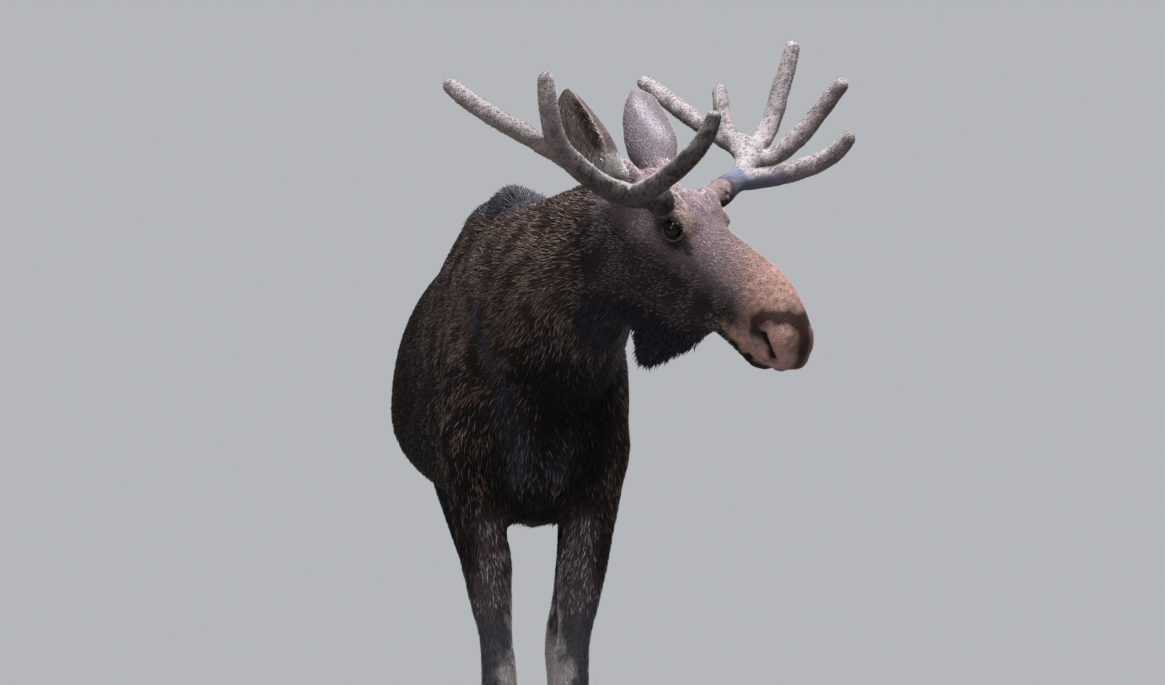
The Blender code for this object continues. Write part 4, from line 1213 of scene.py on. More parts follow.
def add(tree, kind, feeds=(), **settings):
    """A new node: settings are its properties, feeds its inputs, as values or as sockets to link."""
    new = tree.nodes.new(kind)
    for name, value in settings.items():
        setattr(new, name, value)
    for name, value in dict(feeds).items():
        if isinstance(value, bpy.types.NodeSocket):
            tree.links.new(value, new.inputs[name])
        else:
            new.inputs[name].default_value = value
    return new


def group(name, inputs, outputs):
    """An empty shader group with these sockets: pairs of a name and a kind."""
    tree = bpy.data.node_groups.new(name, "ShaderNodeTree")
    for socket, kind in inputs:
        tree.interface.new_socket(socket, in_out="INPUT", socket_type=f"NodeSocket{kind}")
    for socket, kind in outputs:
        tree.interface.new_socket(socket, in_out="OUTPUT", socket_type=f"NodeSocket{kind}")
    return tree, tree.nodes.new("NodeGroupInput").outputs, tree.nodes.new("NodeGroupOutput").inputs


def grain_group():
    """Colour times a noise, and the noise's height; Size is the grain's count in a metre."""
    inputs = [("Colour", "Color"), ("Vector", "Vector"), ("Size", "Float"), ("Contrast", "Float")]
    tree, given, result = group("grain", inputs, [("Colour", "Color"), ("Height", "Float")])
    feeds = {"Vector": given["Vector"], "Scale": given["Size"], "Detail": 3.0}
    noise = add(tree, "ShaderNodeTexNoise", feeds)
    low = add(tree, "ShaderNodeMath", {0: 1.0, 1: given["Contrast"]}, operation="SUBTRACT")
    high = add(tree, "ShaderNodeMath", {0: 1.0, 1: given["Contrast"]}, operation="ADD")
    feeds = {"Value": noise.outputs["Fac"], 1: 0.3, 2: 0.7, 3: low.outputs[0], 4: high.outputs[0]}
    spread = add(tree, "ShaderNodeMapRange", feeds)
    scaled = add(tree, "ShaderNodeVectorMath", {0: given["Colour"]}, operation="SCALE")
    tree.links.new(spread.outputs[0], scaled.inputs["Scale"])
    tree.links.new(scaled.outputs[0], result["Colour"])
    tree.links.new(noise.outputs["Fac"], result["Height"])
    return tree


GRAIN = grain_group()


def grained(name, vector, size, contrast, roughness, bump, shine=0.5, sheen=0.0):
    """A material with the points' own colours and the grain; vector makes its vector in the tree."""
    material = bpy.data.materials.new(name)
    material.use_nodes = True
    tree = material.node_tree
    shader = tree.nodes["Principled BSDF"]
    colour = add(tree, "ShaderNodeAttribute", attribute_name="hue").outputs["Color"]
    feeds = {"Colour": colour, "Vector": vector(tree), "Size": size, "Contrast": contrast}
    grain = add(tree, "ShaderNodeGroup", feeds, node_tree=GRAIN)
    feeds = {"Height": grain.outputs["Height"], "Distance": bump, "Strength": 1.0}
    height = add(tree, "ShaderNodeBump", feeds)
    tree.links.new(grain.outputs["Colour"], shader.inputs["Base Color"])
    tree.links.new(height.outputs["Normal"], shader.inputs["Normal"])
    shader.inputs["Roughness"].default_value = roughness
    shader.inputs["Specular IOR Level"].default_value = shine
    shader.inputs["Sheen Weight"].default_value = sheen
    return material


def stretched(scale, rotation=(0.0, 0.0, 0.0)):
    """The object's own coordinates, turned and stretched."""

    def build(tree):
        """The nodes of this vector, and its socket."""
        coordinates = add(tree, "ShaderNodeTexCoord").outputs["Object"]
        feeds = {"Vector": coordinates, "Rotation": rotation, "Scale": scale}
        return add(tree, "ShaderNodeMapping", feeds).outputs["Vector"]

    return build


def kept_vector(name, scale):
    """A vector kept at the points, stretched."""

    def build(tree):
        """The nodes of this vector, and its socket."""
        kept = add(tree, "ShaderNodeAttribute", attribute_name=name).outputs["Vector"]
        return add(tree, "ShaderNodeMapping", {"Vector": kept, "Scale": scale}).outputs["Vector"]

    return build


# %% [markdown]
# The skin shows between the tufts on face and legs, so it carries a grain as fine as short hair,
# stretched from above to below, and on the face from brow to nose. Hair has its grain along each tuft:
# the vector kept there runs across the tuft, along it, and jumps from one tuft to the next.

# %% Skin and hair materials
HEAD_TURN = Matrix(HEAD_AXES).to_euler()  # turns the head's forward to X and its up to Z
down_body = stretched((1.0, 1.0, 0.22))
skin_material = grained("skin", down_body, 420.0, 0.35, roughness=0.62, bump=0.0016, shine=0.15)
down_face = stretched((0.18, 1.0, 1.0), HEAD_TURN)
face_material = grained("face_skin", down_face, 900.0, 0.45, roughness=0.62, bump=0.0012, shine=0.14)
along_tuft = kept_vector("strand", (1.0, 0.04, 1.0))
hair_material = grained("hair", along_tuft, 2400.0, 0.55, roughness=0.50, bump=0.0010, shine=0.14)
skin.data.materials.append(skin_material)
skin.data.materials.append(face_material)
middles = numbers(skin.data.polygons, "center").astype(float)
on_face = body_masks(middles)[2]["head"] > 0.5
skin.data.polygons.foreach_set("material_index", on_face.astype(np.int32))

# %% [markdown]
# ## Roots of the tufts
# Tufts should stand evenly, but not in rows. Many candidate places are drawn over the skin's triangles,
# more where the coat is fine. Then space is cut into small cubes, each as wide as the spacing there, and
# one candidate is kept in each cube.

# %% Draw the roots
CANDIDATES = 3.0  # for each place that is kept, about
FINEST = 0.0030  # the smallest spacing, in metres
CUBE_WIDTH = 1.12  # of a cube, as a share of the spacing
CUBE_COUNT = 4096  # more cubes than lie along any side of the animal
CUBES_FROM = -4.0  # where they start on every axis, well outside it


def draw_roots(thing, spacing, seed):
    """Even random places on a mesh with their normals; spacing gives the distance between them."""
    mesh = thing.data
    mesh.calc_loop_triangles()
    corners = numbers(mesh.loop_triangles, "vertices", 3, np.int32)
    points, normals = places(mesh), normals_of(mesh)
    a, b, c = np.moveaxis(points[corners], 1, 0)
    area = np.linalg.norm(np.cross(b - a, c - a), axis=1) / 2
    gap = spacing((a + b + c) / 3, unit(normals[corners].sum(1) + 1e-9))
    draw = np.random.default_rng(seed)
    chosen = np.repeat(np.arange(len(area)), draw.poisson(area / gap**2 * CANDIDATES))
    u, v = draw.random((2, len(chosen)))
    over = u + v > 1
    share = np.stack([np.where(over, 1 - u, u), np.where(over, 1 - v, v)], -1)
    share = np.column_stack([1 - share.sum(1), share])[:, :, None]
    roots = (points[corners[chosen]] * share).sum(1)
    outwards = unit((normals[corners[chosen]] * share).sum(1))
    level = np.round(2 * np.log2(gap[chosen] / FINEST)).astype(np.int64)
    cube = np.floor((roots - CUBES_FROM) / (FINEST * 2 ** (level / 2) * CUBE_WIDTH)[:, None]).astype(np.int64)
    key = level
    for axis in range(3):
        key = key * CUBE_COUNT + cube[:, axis]
    kept = np.unique(key, return_index=True)[1]
    return roots[kept], outwards[kept]


# %% [markdown]
# ## Tufts
# A tuft is a lock of hair: three-sided, widest near its middle and drawn out to a point. Its root is
# sunk in the skin and its course rises quickly and then lies flat, so the next tufts cover it. The
# height at a share s of the length is the lift times one minus (1 - s) squared. Every tuft has ten
# triangles, and all of them are worked out at once as arrays.

# %% The shape of a tuft
RINGS = np.array([0.0, 0.48])  # where the two rings lie, as shares of the length
RING_WIDTHS = np.array([0.70, 1.0])
CORNERS = np.array([[0.5, -0.10], [-0.5, -0.10], [0.0, 0.22]])  # across and out, in widths
LEVEL_POINTS = [3, 3, 1]  # points of the two rings and of the tip
TUFT_POINTS = sum(LEVEL_POINTS)
TUFT_FACES = {
    3: np.array([[0, 1, 2], [3, 6, 4], [4, 6, 5], [5, 6, 3]]),
    4: np.array([[0, 3, 4, 1], [1, 4, 5, 2], [2, 5, 3, 0]]),
}
# Painted shade darkens each tuft's root, as deep in a coat; the lighter tip is the hair's pale end with some
# painted sheen.
SHADES = np.array([0.50, 0.50, 0.50, 0.95, 0.95, 0.95, 1.55])  # darker at the root, lighter at the tip
TO_TIP = np.array([0.0, 0.55, 1.0])  # how much of the tip's own colour each level has
SWING = 0.16  # how far a tip bends aside, as a share of the length
UNEVEN = 0.22  # how much tufts differ in shade
GRAIN_JUMP = 7.0  # how far the grain of one tuft may lie from the next one's
PATCH = 0.0015  # half the width of a tuft's patch on the map


def tufts(name, roots, outwards, ways, size, hues, tip_hues, unwrap, draw):
    """Many tufts as one piece; size holds each one's length, width, lift and how deep it is rooted."""
    count = len(roots)
    length, width, lift, depth = size.T[:, :, None]
    aside = np.cross(outwards, ways)
    swing = draw.normal(0, SWING, (count, 1))
    share = np.append(RINGS, 1.0)
    centres = [
        roots - outwards * depth + ways * length * s + aside * swing * length * s**2
        + outwards * (lift + depth) * (1 - (1 - s) ** 2)
        for s in share
    ]
    rings = [
        centres[i][:, None] + (aside[:, None] * CORNERS[:, :1] + outwards[:, None] * CORNERS[:, 1:])
        * (width * RING_WIDTHS[i])[:, None]
        for i in range(2)
    ]
    points = np.concatenate([*rings, centres[2][:, None]], axis=1)
    base = TUFT_POINTS * np.arange(count)[:, None, None]
    faces = [(base + shape).reshape(-1, sides) for sides, shape in TUFT_FACES.items()]
    thing = piece(name, points.reshape(-1, 3), faces)
    shade = SHADES[None, :, None] * np.exp(draw.normal(0, UNEVEN, (count, 1, 1)))
    to_tip = np.repeat(TO_TIP, LEVEL_POINTS)[None, :, None]
    colours = (hues[:, None] * (1 - to_tip) + tip_hues[:, None] * to_tip) * shade
    set_hue(thing, np.clip(colours, 0, 1).reshape(-1, 3))
    across = np.concatenate([CORNERS[:, 0] * RING_WIDTHS[0], CORNERS[:, 0] * RING_WIDTHS[1], [0.0]])
    up_tuft = np.repeat(share, LEVEL_POINTS)
    strand = np.empty((count, TUFT_POINTS, 3))
    strand[:, :, 0] = across * width
    strand[:, :, 1] = up_tuft * length
    strand[:, :, 2] = draw.random((count, 1)) * GRAIN_JUMP
    kept = thing.data.attributes.new("strand", "FLOAT_VECTOR", "POINT")
    kept.data.foreach_set("vector", strand.astype(np.float32).ravel())
    patch = np.stack([across / 0.5, 2 * up_tuft - 1], -1)[None]
    uv = np.clip(unwrap(roots)[:, None] + PATCH * patch, 0, 1).reshape(-1, 2)
    corners = numbers(thing.data.loops, "vertex_index", 1, np.int32)[:, 0]
    layer = thing.data.uv_layers.new(name="OFBake")
    layer.data.foreach_set("uv", uv[corners].astype(np.float32).ravel())
    return thing


# %% [markdown]
# ## How long, how fine, how far apart
# The same masks set the coat's size. It is longest on hump, tail and throat, two or three centimetres
# on the body, about one on face and shins, and half of that on nose and lids. Inside the ears, long
# hairs reach in from both edges.

# %% Size of the coat at any point


BODY_COAT = (0.026, 0.0038, 0.0068)  # length and width of a tuft and the gap between tufts, in metres


def coat_size(points, normals):
    """Length, width and gap: the body's, moved towards each part's own in turn by the part's share."""
    h, p, mask = body_masks(points)
    x, y, z = p.T
    legs = np.maximum(mask["fore"], mask["hind"])
    sure, share, inward, swing, _ = on_ears(h, normals)
    crown = mask["head"] * step(6.5, 9.5, h[:, 2]) * step(5, 0, h[:, 0])
    lash = step(4.6, 3.2, eye_distance(h))
    fringe = mask["beard"] * step(-24, -32, h[:, 2])
    throat = mask["breast"] * step(0.12, 0.04, np.abs(x)) * step(1.12, 1.02, z)
    mane = mask["neck"] * step(1.70, 1.82, z)
    ear_edge = sure * inward * step(0.45, 0.75, np.abs(swing)) * step(0.75, 0.55, share)
    parts = [
        (step(0.35, 0.85, y), 0.030, 0.0048, 0.0090),
        (mask["hump"], 0.056, 0.0034, 0.0064),
        (mask["neck"], 0.026, 0.0030, 0.0064),
        (mane, 0.034, 0.0032, 0.0064),
        (mask["breast"], 0.030, 0.0034, 0.0068),
        (throat, 0.050, 0.0040, 0.0068),
        (legs, 0.019, 0.0026, 0.0062),
        (mask["shin"] * legs, 0.012, 0.0022, 0.0053),
        (mask["head"], 0.0100, 0.0016, 0.0041),
        (crown, 0.018, 0.0024, 0.0045),
        (mask["muzzle"], 0.0055, 0.0013, 0.0035),
        (lash * mask["head"], 0.0050, 0.0012, 0.0030),
        (mask["beard"], 0.026, 0.0034, 0.0052),
        (fringe, 0.030, 0.0030, 0.0048),
        (mask["tail"], 0.055, 0.0040, 0.0064),
        (sure, 0.009, 0.0022, 0.0046),
        (sure * inward, 0.018, 0.0026, 0.0056),
        (step(0.145, 0.11, z), 0.022, 0.0026, 0.0052),  # over the hooves
        (ear_edge, 0.030, 0.0022, 0.0050),
        (sure * step(0.80, 0.95, share), 0.0045, 0.0018, 0.0046),  # tips of the ears
    ]
    sizes = []
    for column, start in enumerate(BODY_COAT, 1):
        value = np.full(len(points), start)
        for part in parts:
            value += (part[column] - value) * part[0]
        sizes.append(value)
    return sizes


def spacing(points, normals):
    """The gap between tufts alone."""
    return coat_size(points, normals)[2]


roots, outwards = draw_roots(skin, spacing, 31)
print(len(roots), "tufts have a place")

# %% [markdown]
# ## The coat in pieces
# One mesh for the whole coat would be too heavy to handle, so it is parted where a maker would part it:
# the head's right half (coat_face) and left half (coat_cheeks), ears, beard, neck, breast, shoulders,
# flanks, rump, forelegs and hind legs. Each piece has a flat map of its own, made by unrolling the skin
# round the form's axis like a label from a bottle, and each tuft has a small patch on it at its root's
# place.

# %% Keep the roots where hair grows
EYE_CLEAR = 2.75  # no hair nearer than this to an eye's centre, in centimetres
HAIR_LINE = 0.074  # no hair lower than this, where the hooves are
h, p, mask = body_masks(roots)
in_nostril = near_path(h, NOSTRIL_INSIDE, NOSTRIL_WIDTH) > 0.42
grows = (eye_distance(h) > EYE_CLEAR) & ~in_nostril & (p[:, 2] > HAIR_LINE)
roots, outwards, h, p = roots[grows], outwards[grows], h[grows], p[grows]
mask = {name: values[grows] for name, values in mask.items()}
x, y, z = p.T
ear_share, _, ear_inward, _, _ = on_ears(h, outwards)

# %% Maps that unroll a form


def unrolled(centre, axis, top, slot=0, slots=1):
    """Angle round the axis and place along it, each from 0 to 1, in one of several strips."""
    axis, top = unit(np.array(axis, float)), np.array(top, float)
    top = unit(top - axis * (top @ axis))
    side = np.cross(axis, top)

    def to_map(points):
        """Map places of roots on this form."""
        arm = points - centre
        s = arm @ axis
        angle = np.arctan2(arm @ side, arm @ top) / (2 * math.pi) + 0.5
        s = (s - s.min()) / max(np.ptp(s), 1e-6)
        return np.stack([(slot + 0.01 + 0.98 * angle) / slots, 0.01 + 0.98 * s], -1)

    return to_map


def pair_unrolled(left_map, right_map):
    """The left half of a pair on one strip, the right half on the other."""

    def to_map(points):
        """Map places of roots on both halves."""
        middle = np.where(points[:, 1] - SHIFT[1] < BETWEEN_LEGS, 0.0, HIND_SHIFT) + SHIFT[0]
        left = points[:, 0] > middle
        result = np.empty((len(points), 2))
        for chosen, unroll in ((left, left_map), (~left, right_map)):
            if chosen.any():
                result[chosen] = unroll(points[chosen])
        return result

    return to_map


def ears_unrolled():
    """Each ear round the line from its root to its tip."""
    strips = []
    for side, slot, middle in (("left", 1, (-30, 12, 17)), ("right", 0, (-25, -17, 20))):
        root, tip, _ = EARS[side]
        strips.append(unrolled(on_head(middle), on_head(tip) - on_head(root), HEAD_AXES[2], slot, 2))
    return pair_unrolled(*strips)


def legs_unrolled(left_x, right_x, y):
    """Each leg round an upright line at these places."""
    return pair_unrolled(
        unrolled(SHIFT + [left_x, y, 0], (0, 0, 1), (0, 1, 0), 1, 2),
        unrolled(SHIFT + [right_x, y, 0], (0, 0, 1), (0, 1, 0), 0, 2),
    )


# %% The pieces of the coat and their maps
forward, _, up = HEAD_AXES
barrel = unrolled(SHIFT + [-0.01, 0, 1.33], (0, 1, 0), (0, 0, -1))
skull_line = unrolled(on_head((0, 0, -4)), forward, -up)
MAPS = {
    "coat_face": skull_line,
    "coat_cheeks": skull_line,
    "coat_ears": ears_unrolled(),
    "coat_beard": unrolled(on_head((0.5, 0, -25)), up, forward),
    "coat_breast": unrolled(SHIFT + [0, 0.05, 1.15], (0, 0, 1), (0, 1, 0)),
    "coat_neck": unrolled(SHIFT + [0.1, 0, 1.60], (-0.30, 0.93, -0.40), (0, 0, -1)),
    "coat_shoulders": barrel,
    "coat_flanks": barrel,
    "coat_rump": barrel,
    "coat_forelegs": legs_unrolled(0.092, -0.092, 0.01),
    "coat_hindlegs": legs_unrolled(0.142, -0.042, 1.33),
}
REGIONS = [  # a root belongs to the first that it lies in
    ("coat_ears", ear_share > 0.4),
    ("coat_beard", mask["beard"] > 0.5),
    ("coat_face", (mask["head"] > 0.5) & (h[:, 1] < 0)),
    ("coat_cheeks", mask["head"] > 0.5),
    ("coat_forelegs", (z < 0.92) & (y < 0.5)),
    ("coat_hindlegs", (z < 0.98) & (y > 0.85)),
    ("coat_breast", (y < 0.25) & (z < 1.36)),
    ("coat_neck", y < -0.02),
    ("coat_shoulders", y < 0.42),
    ("coat_flanks", y < 0.98),
]
region = np.select([inside for _, inside in REGIONS], [name for name, _ in REGIONS], "coat_rump")

# %% [markdown]
# Single light tufts among the dark ones make the coat glint: gold on neck and shoulders, steel as a painted
# sky sheen on the hump and down the shoulders' front, grey on the face, and pale ones on the forelegs and in
# the ears. They are picked at random, more of them where the living coat is more mixed and where the painted
# sheen lies.

# %% Size of every tuft
draw = np.random.default_rng(41)
ways = lie(roots, outwards)
length, width, _ = coat_size(roots, outwards)
scatter = np.exp(draw.normal(0, 0.16, len(roots)))
rise = coat_depth(roots) * draw.uniform(0.55, 1.0, len(roots))
rise = np.where(ear_share > 0.3, 0.0012 + 0.006 * ear_inward, rise)
rise = np.where(z > 0.13, rise, 0.003 + 0.009 * step(0.150, 0.110, z))  # flared over the hooves
size = np.stack([length * scatter, width * scatter**0.5, rise, 0.0012 + 0.10 * width], -1)

# %% Light flecks
dark_place = np.maximum(breast_share(p) * (1 - painted_sheen_share(p)), near_path(h, THROAT_LATCH, LATCH_WIDTH))
on_neck = step(0.75, 0.10, y) * step(1.30, 1.50, z)
on_shoulder = step(0.70, 0.05, y) * step(0.06, 0.15, np.abs(x)) * step(0.95, 1.10, z)
golden = np.maximum(1.25 * on_neck, 0.55 * on_shoulder) * (1 - np.maximum(mask["head"], ear_share))
golden = golden * (1 - 0.95 * dark_place)
# Painted sky sheen: steel-blue flecks on the hump's top and down the shoulders' front.
sky_sheen = np.maximum(0.9 * mask["hump"] * step(1.76, 1.84, z), 0.8 * painted_sheen_share(p))
on_arm = 0.75 * arm_share(p, mask) * step(0.72, 0.86, z)
on_face = mask["head"] * (1 - mask["beard"]) * (1 - ear_share)
chance = 0.03 + 0.42 * np.maximum(np.maximum(golden, sky_sheen), on_arm)
chance += 0.34 * on_face * step(30, 20, h[:, 0]) + 0.20 * ear_share * ear_inward
picked = draw.random(len(roots)) < chance * (1 + 0.5 * waves(roots, 0.09, 42))
FLECKS = [  # the first that holds gives the fleck's colour
    (on_arm > 0.3, LEG_PALE),
    (ear_share > 0.4, EAR_RIM),
    (np.maximum(on_face, on_arm) > 0.4, LAVENDER),
    (sky_sheen > 0.45, PAINTED_SHEEN_FLECK),
    (np.full(len(roots), True), GOLD),
]
fleck = np.select([holds[:, None] for holds, _ in FLECKS], [np.array(colour) for _, colour in FLECKS])
bright = draw.uniform(0.4, 1.1, (len(roots), 1))
fleck = fleck * bright * (0.35 + 0.65 * np.minimum(1, chance / 0.2))[:, None]

# %% Grow the tufts
hues = coat_hue(roots, outwards)
lighter = np.where(hues.mean(1) < 0.2, 1.0, 0.0) * picked  # pale places need no flecks
tips = hues + (fleck - hues) * (0.9 * lighter)[:, None]
coat = {}
for name in MAPS:
    mine = np.flatnonzero(region == name)
    coat[name] = tufts(
        name, roots[mine], outwards[mine], ways[mine], size[mine], hues[mine], tips[mine], MAPS[name], draw
    )
    coat[name].data.materials.append(hair_material)
    print(name, len(mine), "tufts,", 10 * len(mine), "triangles")
print("coat in all:", 10 * len(roots), "triangles")

# %% [markdown]
# ## Antlers in velvet
# Growing antlers are thick, blunt and round, because the bone is wrapped in skin. Each is one beam with
# tines that leave it in smooth forks. So each branch is a round tube along its own path, and a remesh
# fuses them. The left one broadens into a small palm, which four of its tines leave.

# %% Branches of the antlers, in head centimetres: forward, left, up, radius
ANTLERS = {
    "right": [
        [  # beam
            (-3.2, -4.4, 7.0, 2.4), (-3.2, -7.8, 8.6, 2.9), (-3.2, -12.2, 10.6, 3.5),
            (-3.4, -16.0, 11.5, 3.2), (-3.2, -24.0, 12.3, 3.1), (-5.6, -29.0, 13.0, 3.0),
            (-8.3, -34.0, 14.9, 2.9), (-10.7, -39.0, 17.6, 2.9), (-13.1, -43.0, 20.5, 2.8),
        ],
        [  # front tine
            (-3.4, -20.0, 12.0, 3.1), (0.0, -24.6, 14.2, 3.1), (4.8, -27.0, 18.4, 2.8),
            (9.9, -28.2, 24.1, 2.7), (14.0, -28.6, 30.5, 2.6), (16.1, -28.0, 36.6, 2.4),
            (16.2, -27.2, 41.4, 2.1),
        ],
        [  # middle tine
            (-11.5, -40.2, 18.4, 2.6), (-14.2, -45.6, 23.4, 2.7), (-15.6, -48.0, 27.6, 2.6),
            (-18.0, -49.5, 33.8, 2.5), (-19.6, -50.0, 37.4, 2.1),
        ],
        [  # rear tine
            (-11.5, -40.5, 18.4, 2.6), (-17.6, -46.0, 20.8, 2.6), (-23.8, -49.0, 22.0, 2.6),
            (-33.7, -51.0, 22.9, 2.5), (-41.5, -51.8, 24.0, 2.4), (-45.6, -52.0, 24.8, 2.1),
        ],
    ],
    "left": [
        [  # beam
            (-3.2, 4.4, 7.0, 2.4), (-3.2, 7.8, 8.8, 2.9), (-3.4, 12.4, 11.2, 3.6),
            (-3.6, 16.0, 13.4, 3.1), (-3.6, 20.5, 14.8, 3.0),
        ],
        [  # front tine
            (-3.6, 18.0, 14.2, 2.8), (-1.6, 23.4, 15.6, 2.8), (2.4, 26.8, 18.2, 2.7),
            (6.7, 29.2, 21.7, 2.7), (12.2, 31.8, 27.5, 2.5), (14.4, 32.4, 31.6, 2.3),
            (15.2, 32.5, 33.4, 2.1),
        ],
        [  # palm
            (-3.6, 18.6, 14.6, 2.8), (-6.2, 23.5, 16.0, 3.0), (-9.0, 28.0, 17.3, 3.4),
            (-12.5, 31.5, 18.0, 3.8), (-17.0, 33.0, 18.4, 3.2),
        ],
        [  # outer tine
            (-8.6, 29.0, 17.0, 2.6), (-6.6, 34.0, 19.2, 2.6), (-4.2, 38.0, 24.3, 2.6),
            (-2.8, 42.0, 31.7, 2.5), (-1.5, 44.2, 38.2, 2.3), (-0.4, 44.8, 41.2, 2.1),
        ],
        [  # upper tine
            (-11.6, 32.0, 17.8, 2.6), (-13.4, 37.4, 20.8, 2.7), (-15.6, 42.0, 25.8, 2.6),
            (-18.6, 46.0, 32.5, 2.5), (-20.8, 48.8, 39.6, 2.3), (-21.6, 49.6, 42.6, 2.1),
        ],
        [  # inner tine
            (-14.0, 31.8, 17.8, 2.5), (-20.6, 33.6, 18.8, 2.5), (-26.0, 35.6, 22.0, 2.3),
            (-30.6, 37.6, 26.8, 2.1),
        ],
        [  # rear tine
            (-15.0, 32.5, 17.8, 2.7), (-24.0, 34.2, 17.6, 2.6), (-32.0, 36.0, 17.3, 2.5),
            (-42.0, 38.6, 17.4, 2.5), (-52.0, 41.2, 17.7, 2.4), (-57.6, 42.0, 18.0, 2.1),
        ],
    ],
}
WEB = ((-11.5, 31.5, 17.6), (5.5, 4.6, 1.9))  # the skin between the left antler's tines
ANTLER_VOXEL = 0.0042
VELVET_DEPTH = 0.16  # the fuzz stands this far out over the antler's own surface
BURR_AT = 11.2  # how far aside of the middle of the head the burr lies
BURR_FORWARD = -3.2  # and how far forward of the eyes

# %% [markdown]
# The velvet is lumpy over the growing bone, with veins under it, and the burr at the foot is a rough
# collar of small pearls. Both are pushed out along the normals by smooth noise.

# %% The two antlers


def antler(side):
    """The branches of one side fused, with lumps, and pearls round the burr."""
    shapes = []
    for branch in ANTLERS[side]:
        points, faces = tube(np.array(branch) - [0, 0, 0, VELVET_DEPTH], 60, 28)
        shapes.append((on_head(points), faces))
    if side == "left":
        points, faces = ball(*WEB)
        shapes.append((on_head(points), faces))
    thing = fuse(f"antler_{side}", shapes, ANTLER_VOXEL, 5)
    points, outwards = places(thing.data), normals_of(thing.data)
    h = to_head(points)
    burr = bell(np.abs(h[:, 1]) - BURR_AT, 1.5) * step(9, 3, np.abs(h[:, 0] - BURR_FORWARD))
    lumps = 0.0005 * waves(points, 0.060, 1) + 0.0002 * waves(points, 0.02, 2)
    lumps += burr * (0.0012 + 0.0016 * np.maximum(waves(points, 0.018, 3), -0.4))
    place(thing.data, points + outwards * lumps[:, None])
    return thing


antlers = {side: antler(side) for side in ANTLERS}
for side, thing in antlers.items():
    print(thing.name, len(thing.data.polygons), "quads")

# %% [markdown]
# ## Eyes
# An eye is a wet dark ball nearly five centimetres wide. Its front, the cornea, is rounder than the ball
# and stands out a little. Behind it lie a brown iris and a long level pupil, as grazing animals have.

# %% Eye balls
CORNEA_BULGE = 0.10  # in centimetres
eyes = []
for name, eye, mirror in zip(("fine_eye_right", "fine_eye_left"), EYE_PLACES, (-1, 1)):
    points, faces = ball((0, 0, 0), (EYE_RADIUS,) * 3, 48)
    looking = unit(points) @ eye_frame(mirror)[2]
    points *= (1 + CORNEA_BULGE / EYE_RADIUS * step(0.80, 0.97, looking))[:, None]
    eyes.append(piece(name, on_head(points + eye), faces))

# %% [markdown]
# ## Hooves
# A moose walks on two long claws that can spread, with two small dewclaws behind. A claw is a pointed
# oval, straight on its inner side, that slopes back from the toe to the coronet, where the hair begins.
# Growth leaves shallow rings round it.

# %% Claws and dewclaws
FEET = {  # aside of the middle, place along the body, where the middle is, size
    "fore": (FORE_ASIDE, -0.022, 0.0, 1.0),
    "hind": (HIND_ASIDE, 1.288, HIND_SHIFT, 0.95),
}
CORONET = 0.080  # height of the hoof's upper edge at the middle of the foot
CORONET_SLOPE = 0.42  # it drops towards the heel
CLAW_ASIDE, CLAW_CLOSES = 0.0278, 0.010  # half the way between two claws, and how far the toes close in
CLAW = [  # share of the height, half length, half width, and how far back it sits
    (0.00, 0.0700, 0.0230, -0.0255),
    (0.03, 0.0742, 0.0258, -0.0260),
    (0.20, 0.0728, 0.0260, -0.0238),
    (0.45, 0.0690, 0.0250, -0.0180),
    (0.75, 0.0618, 0.0236, -0.0090),
    (0.92, 0.0572, 0.0226, -0.0035),
    (1.00, 0.0450, 0.0170, 0.0),
]
DEWCLAW_ASIDE = 0.014
DEWCLAW = [  # further aside, back from the foot, height, radius
    (0.0, 0.028, 0.178, 0.011),
    (0.006, 0.052, 0.163, 0.013),
    (0.015, 0.078, 0.118, 0.0088),
]


def claw(foot, mirror, across):
    """Pointed ovals from the ground up to the slanting coronet, with growth rings near the top."""
    x, y, aside, scale = foot
    share, length, width, back = stations(CLAW, 36).T[:, :, None]
    ring = 1 + 0.010 * np.sin(share * 44 + 2 * np.sin(share * 9)) * step(0.1, 0.5, share)
    angle = np.linspace(0, 2 * math.pi, 48, endpoint=False)
    point = np.maximum(-np.sin(angle), 0) ** 2  # 0 at the heel, 1 at the toe
    px = x * mirror + aside + across * scale * (CLAW_ASIDE - CLAW_CLOSES * point)
    px = px + width * scale * ring * np.cos(angle) * (1 - 0.3 * point)
    py = y + back * scale + length * scale * ring * np.sin(angle)
    pz = share * (CORONET - CORONET_SLOPE * (py - y))
    return closed_grid(np.stack([px, py, pz], -1) + SHIFT)


def dewclaw(foot, mirror, across):
    """One of the two small claws behind the pastern, rooted inside the leg."""
    x, y, aside, _ = foot
    x = x * mirror + aside + DEWCLAW_ASIDE * across
    path = [(x + dx * across, y + dy, z, radius) for dx, dy, z, radius in DEWCLAW]
    points, faces = tube(path, 14, 20)
    return points + SHIFT, faces


claws = []
for side, mirror in (("right", -1), ("left", 1)):
    for kind, foot in FEET.items():
        for place_name, across in (("inner", -mirror), ("outer", mirror)):
            for make, name in ((claw, "hoof"), (dewclaw, "dewclaw")):
                claws.append(piece(f"fine_{name}_{kind}_{side}_{place_name}", *make(foot, mirror, across)))
print(len(claws), "claws and dewclaws")

# %% [markdown]
# ## Velvet
# Velvet is a pelt of fine upright hairs, pale grey with dark mottles where they part; painted shade makes it
# browner along the underside, and darkest under the right beam near its foot. The left beam's foot is worn
# smooth and bluish.
# The burrs are dark, the left one with mauve hair on its upper side. One function of place gives the
# colours of the surface and of its fuzz.

# %% Colours of the velvet
VELVET_PALE = (0.2550, 0.2200, 0.2250)
VELVET_DARK = (0.0560, 0.0430, 0.0460)
# Painted shade on the velvet's underside.
VELVET_UNDERSIDE_SHADE = (0.0950, 0.0670, 0.0660)
VELVET_BLUE = (0.0800, 0.0850, 0.1350)
VELVET_SHADED = (0.0190, 0.0140, 0.0140)


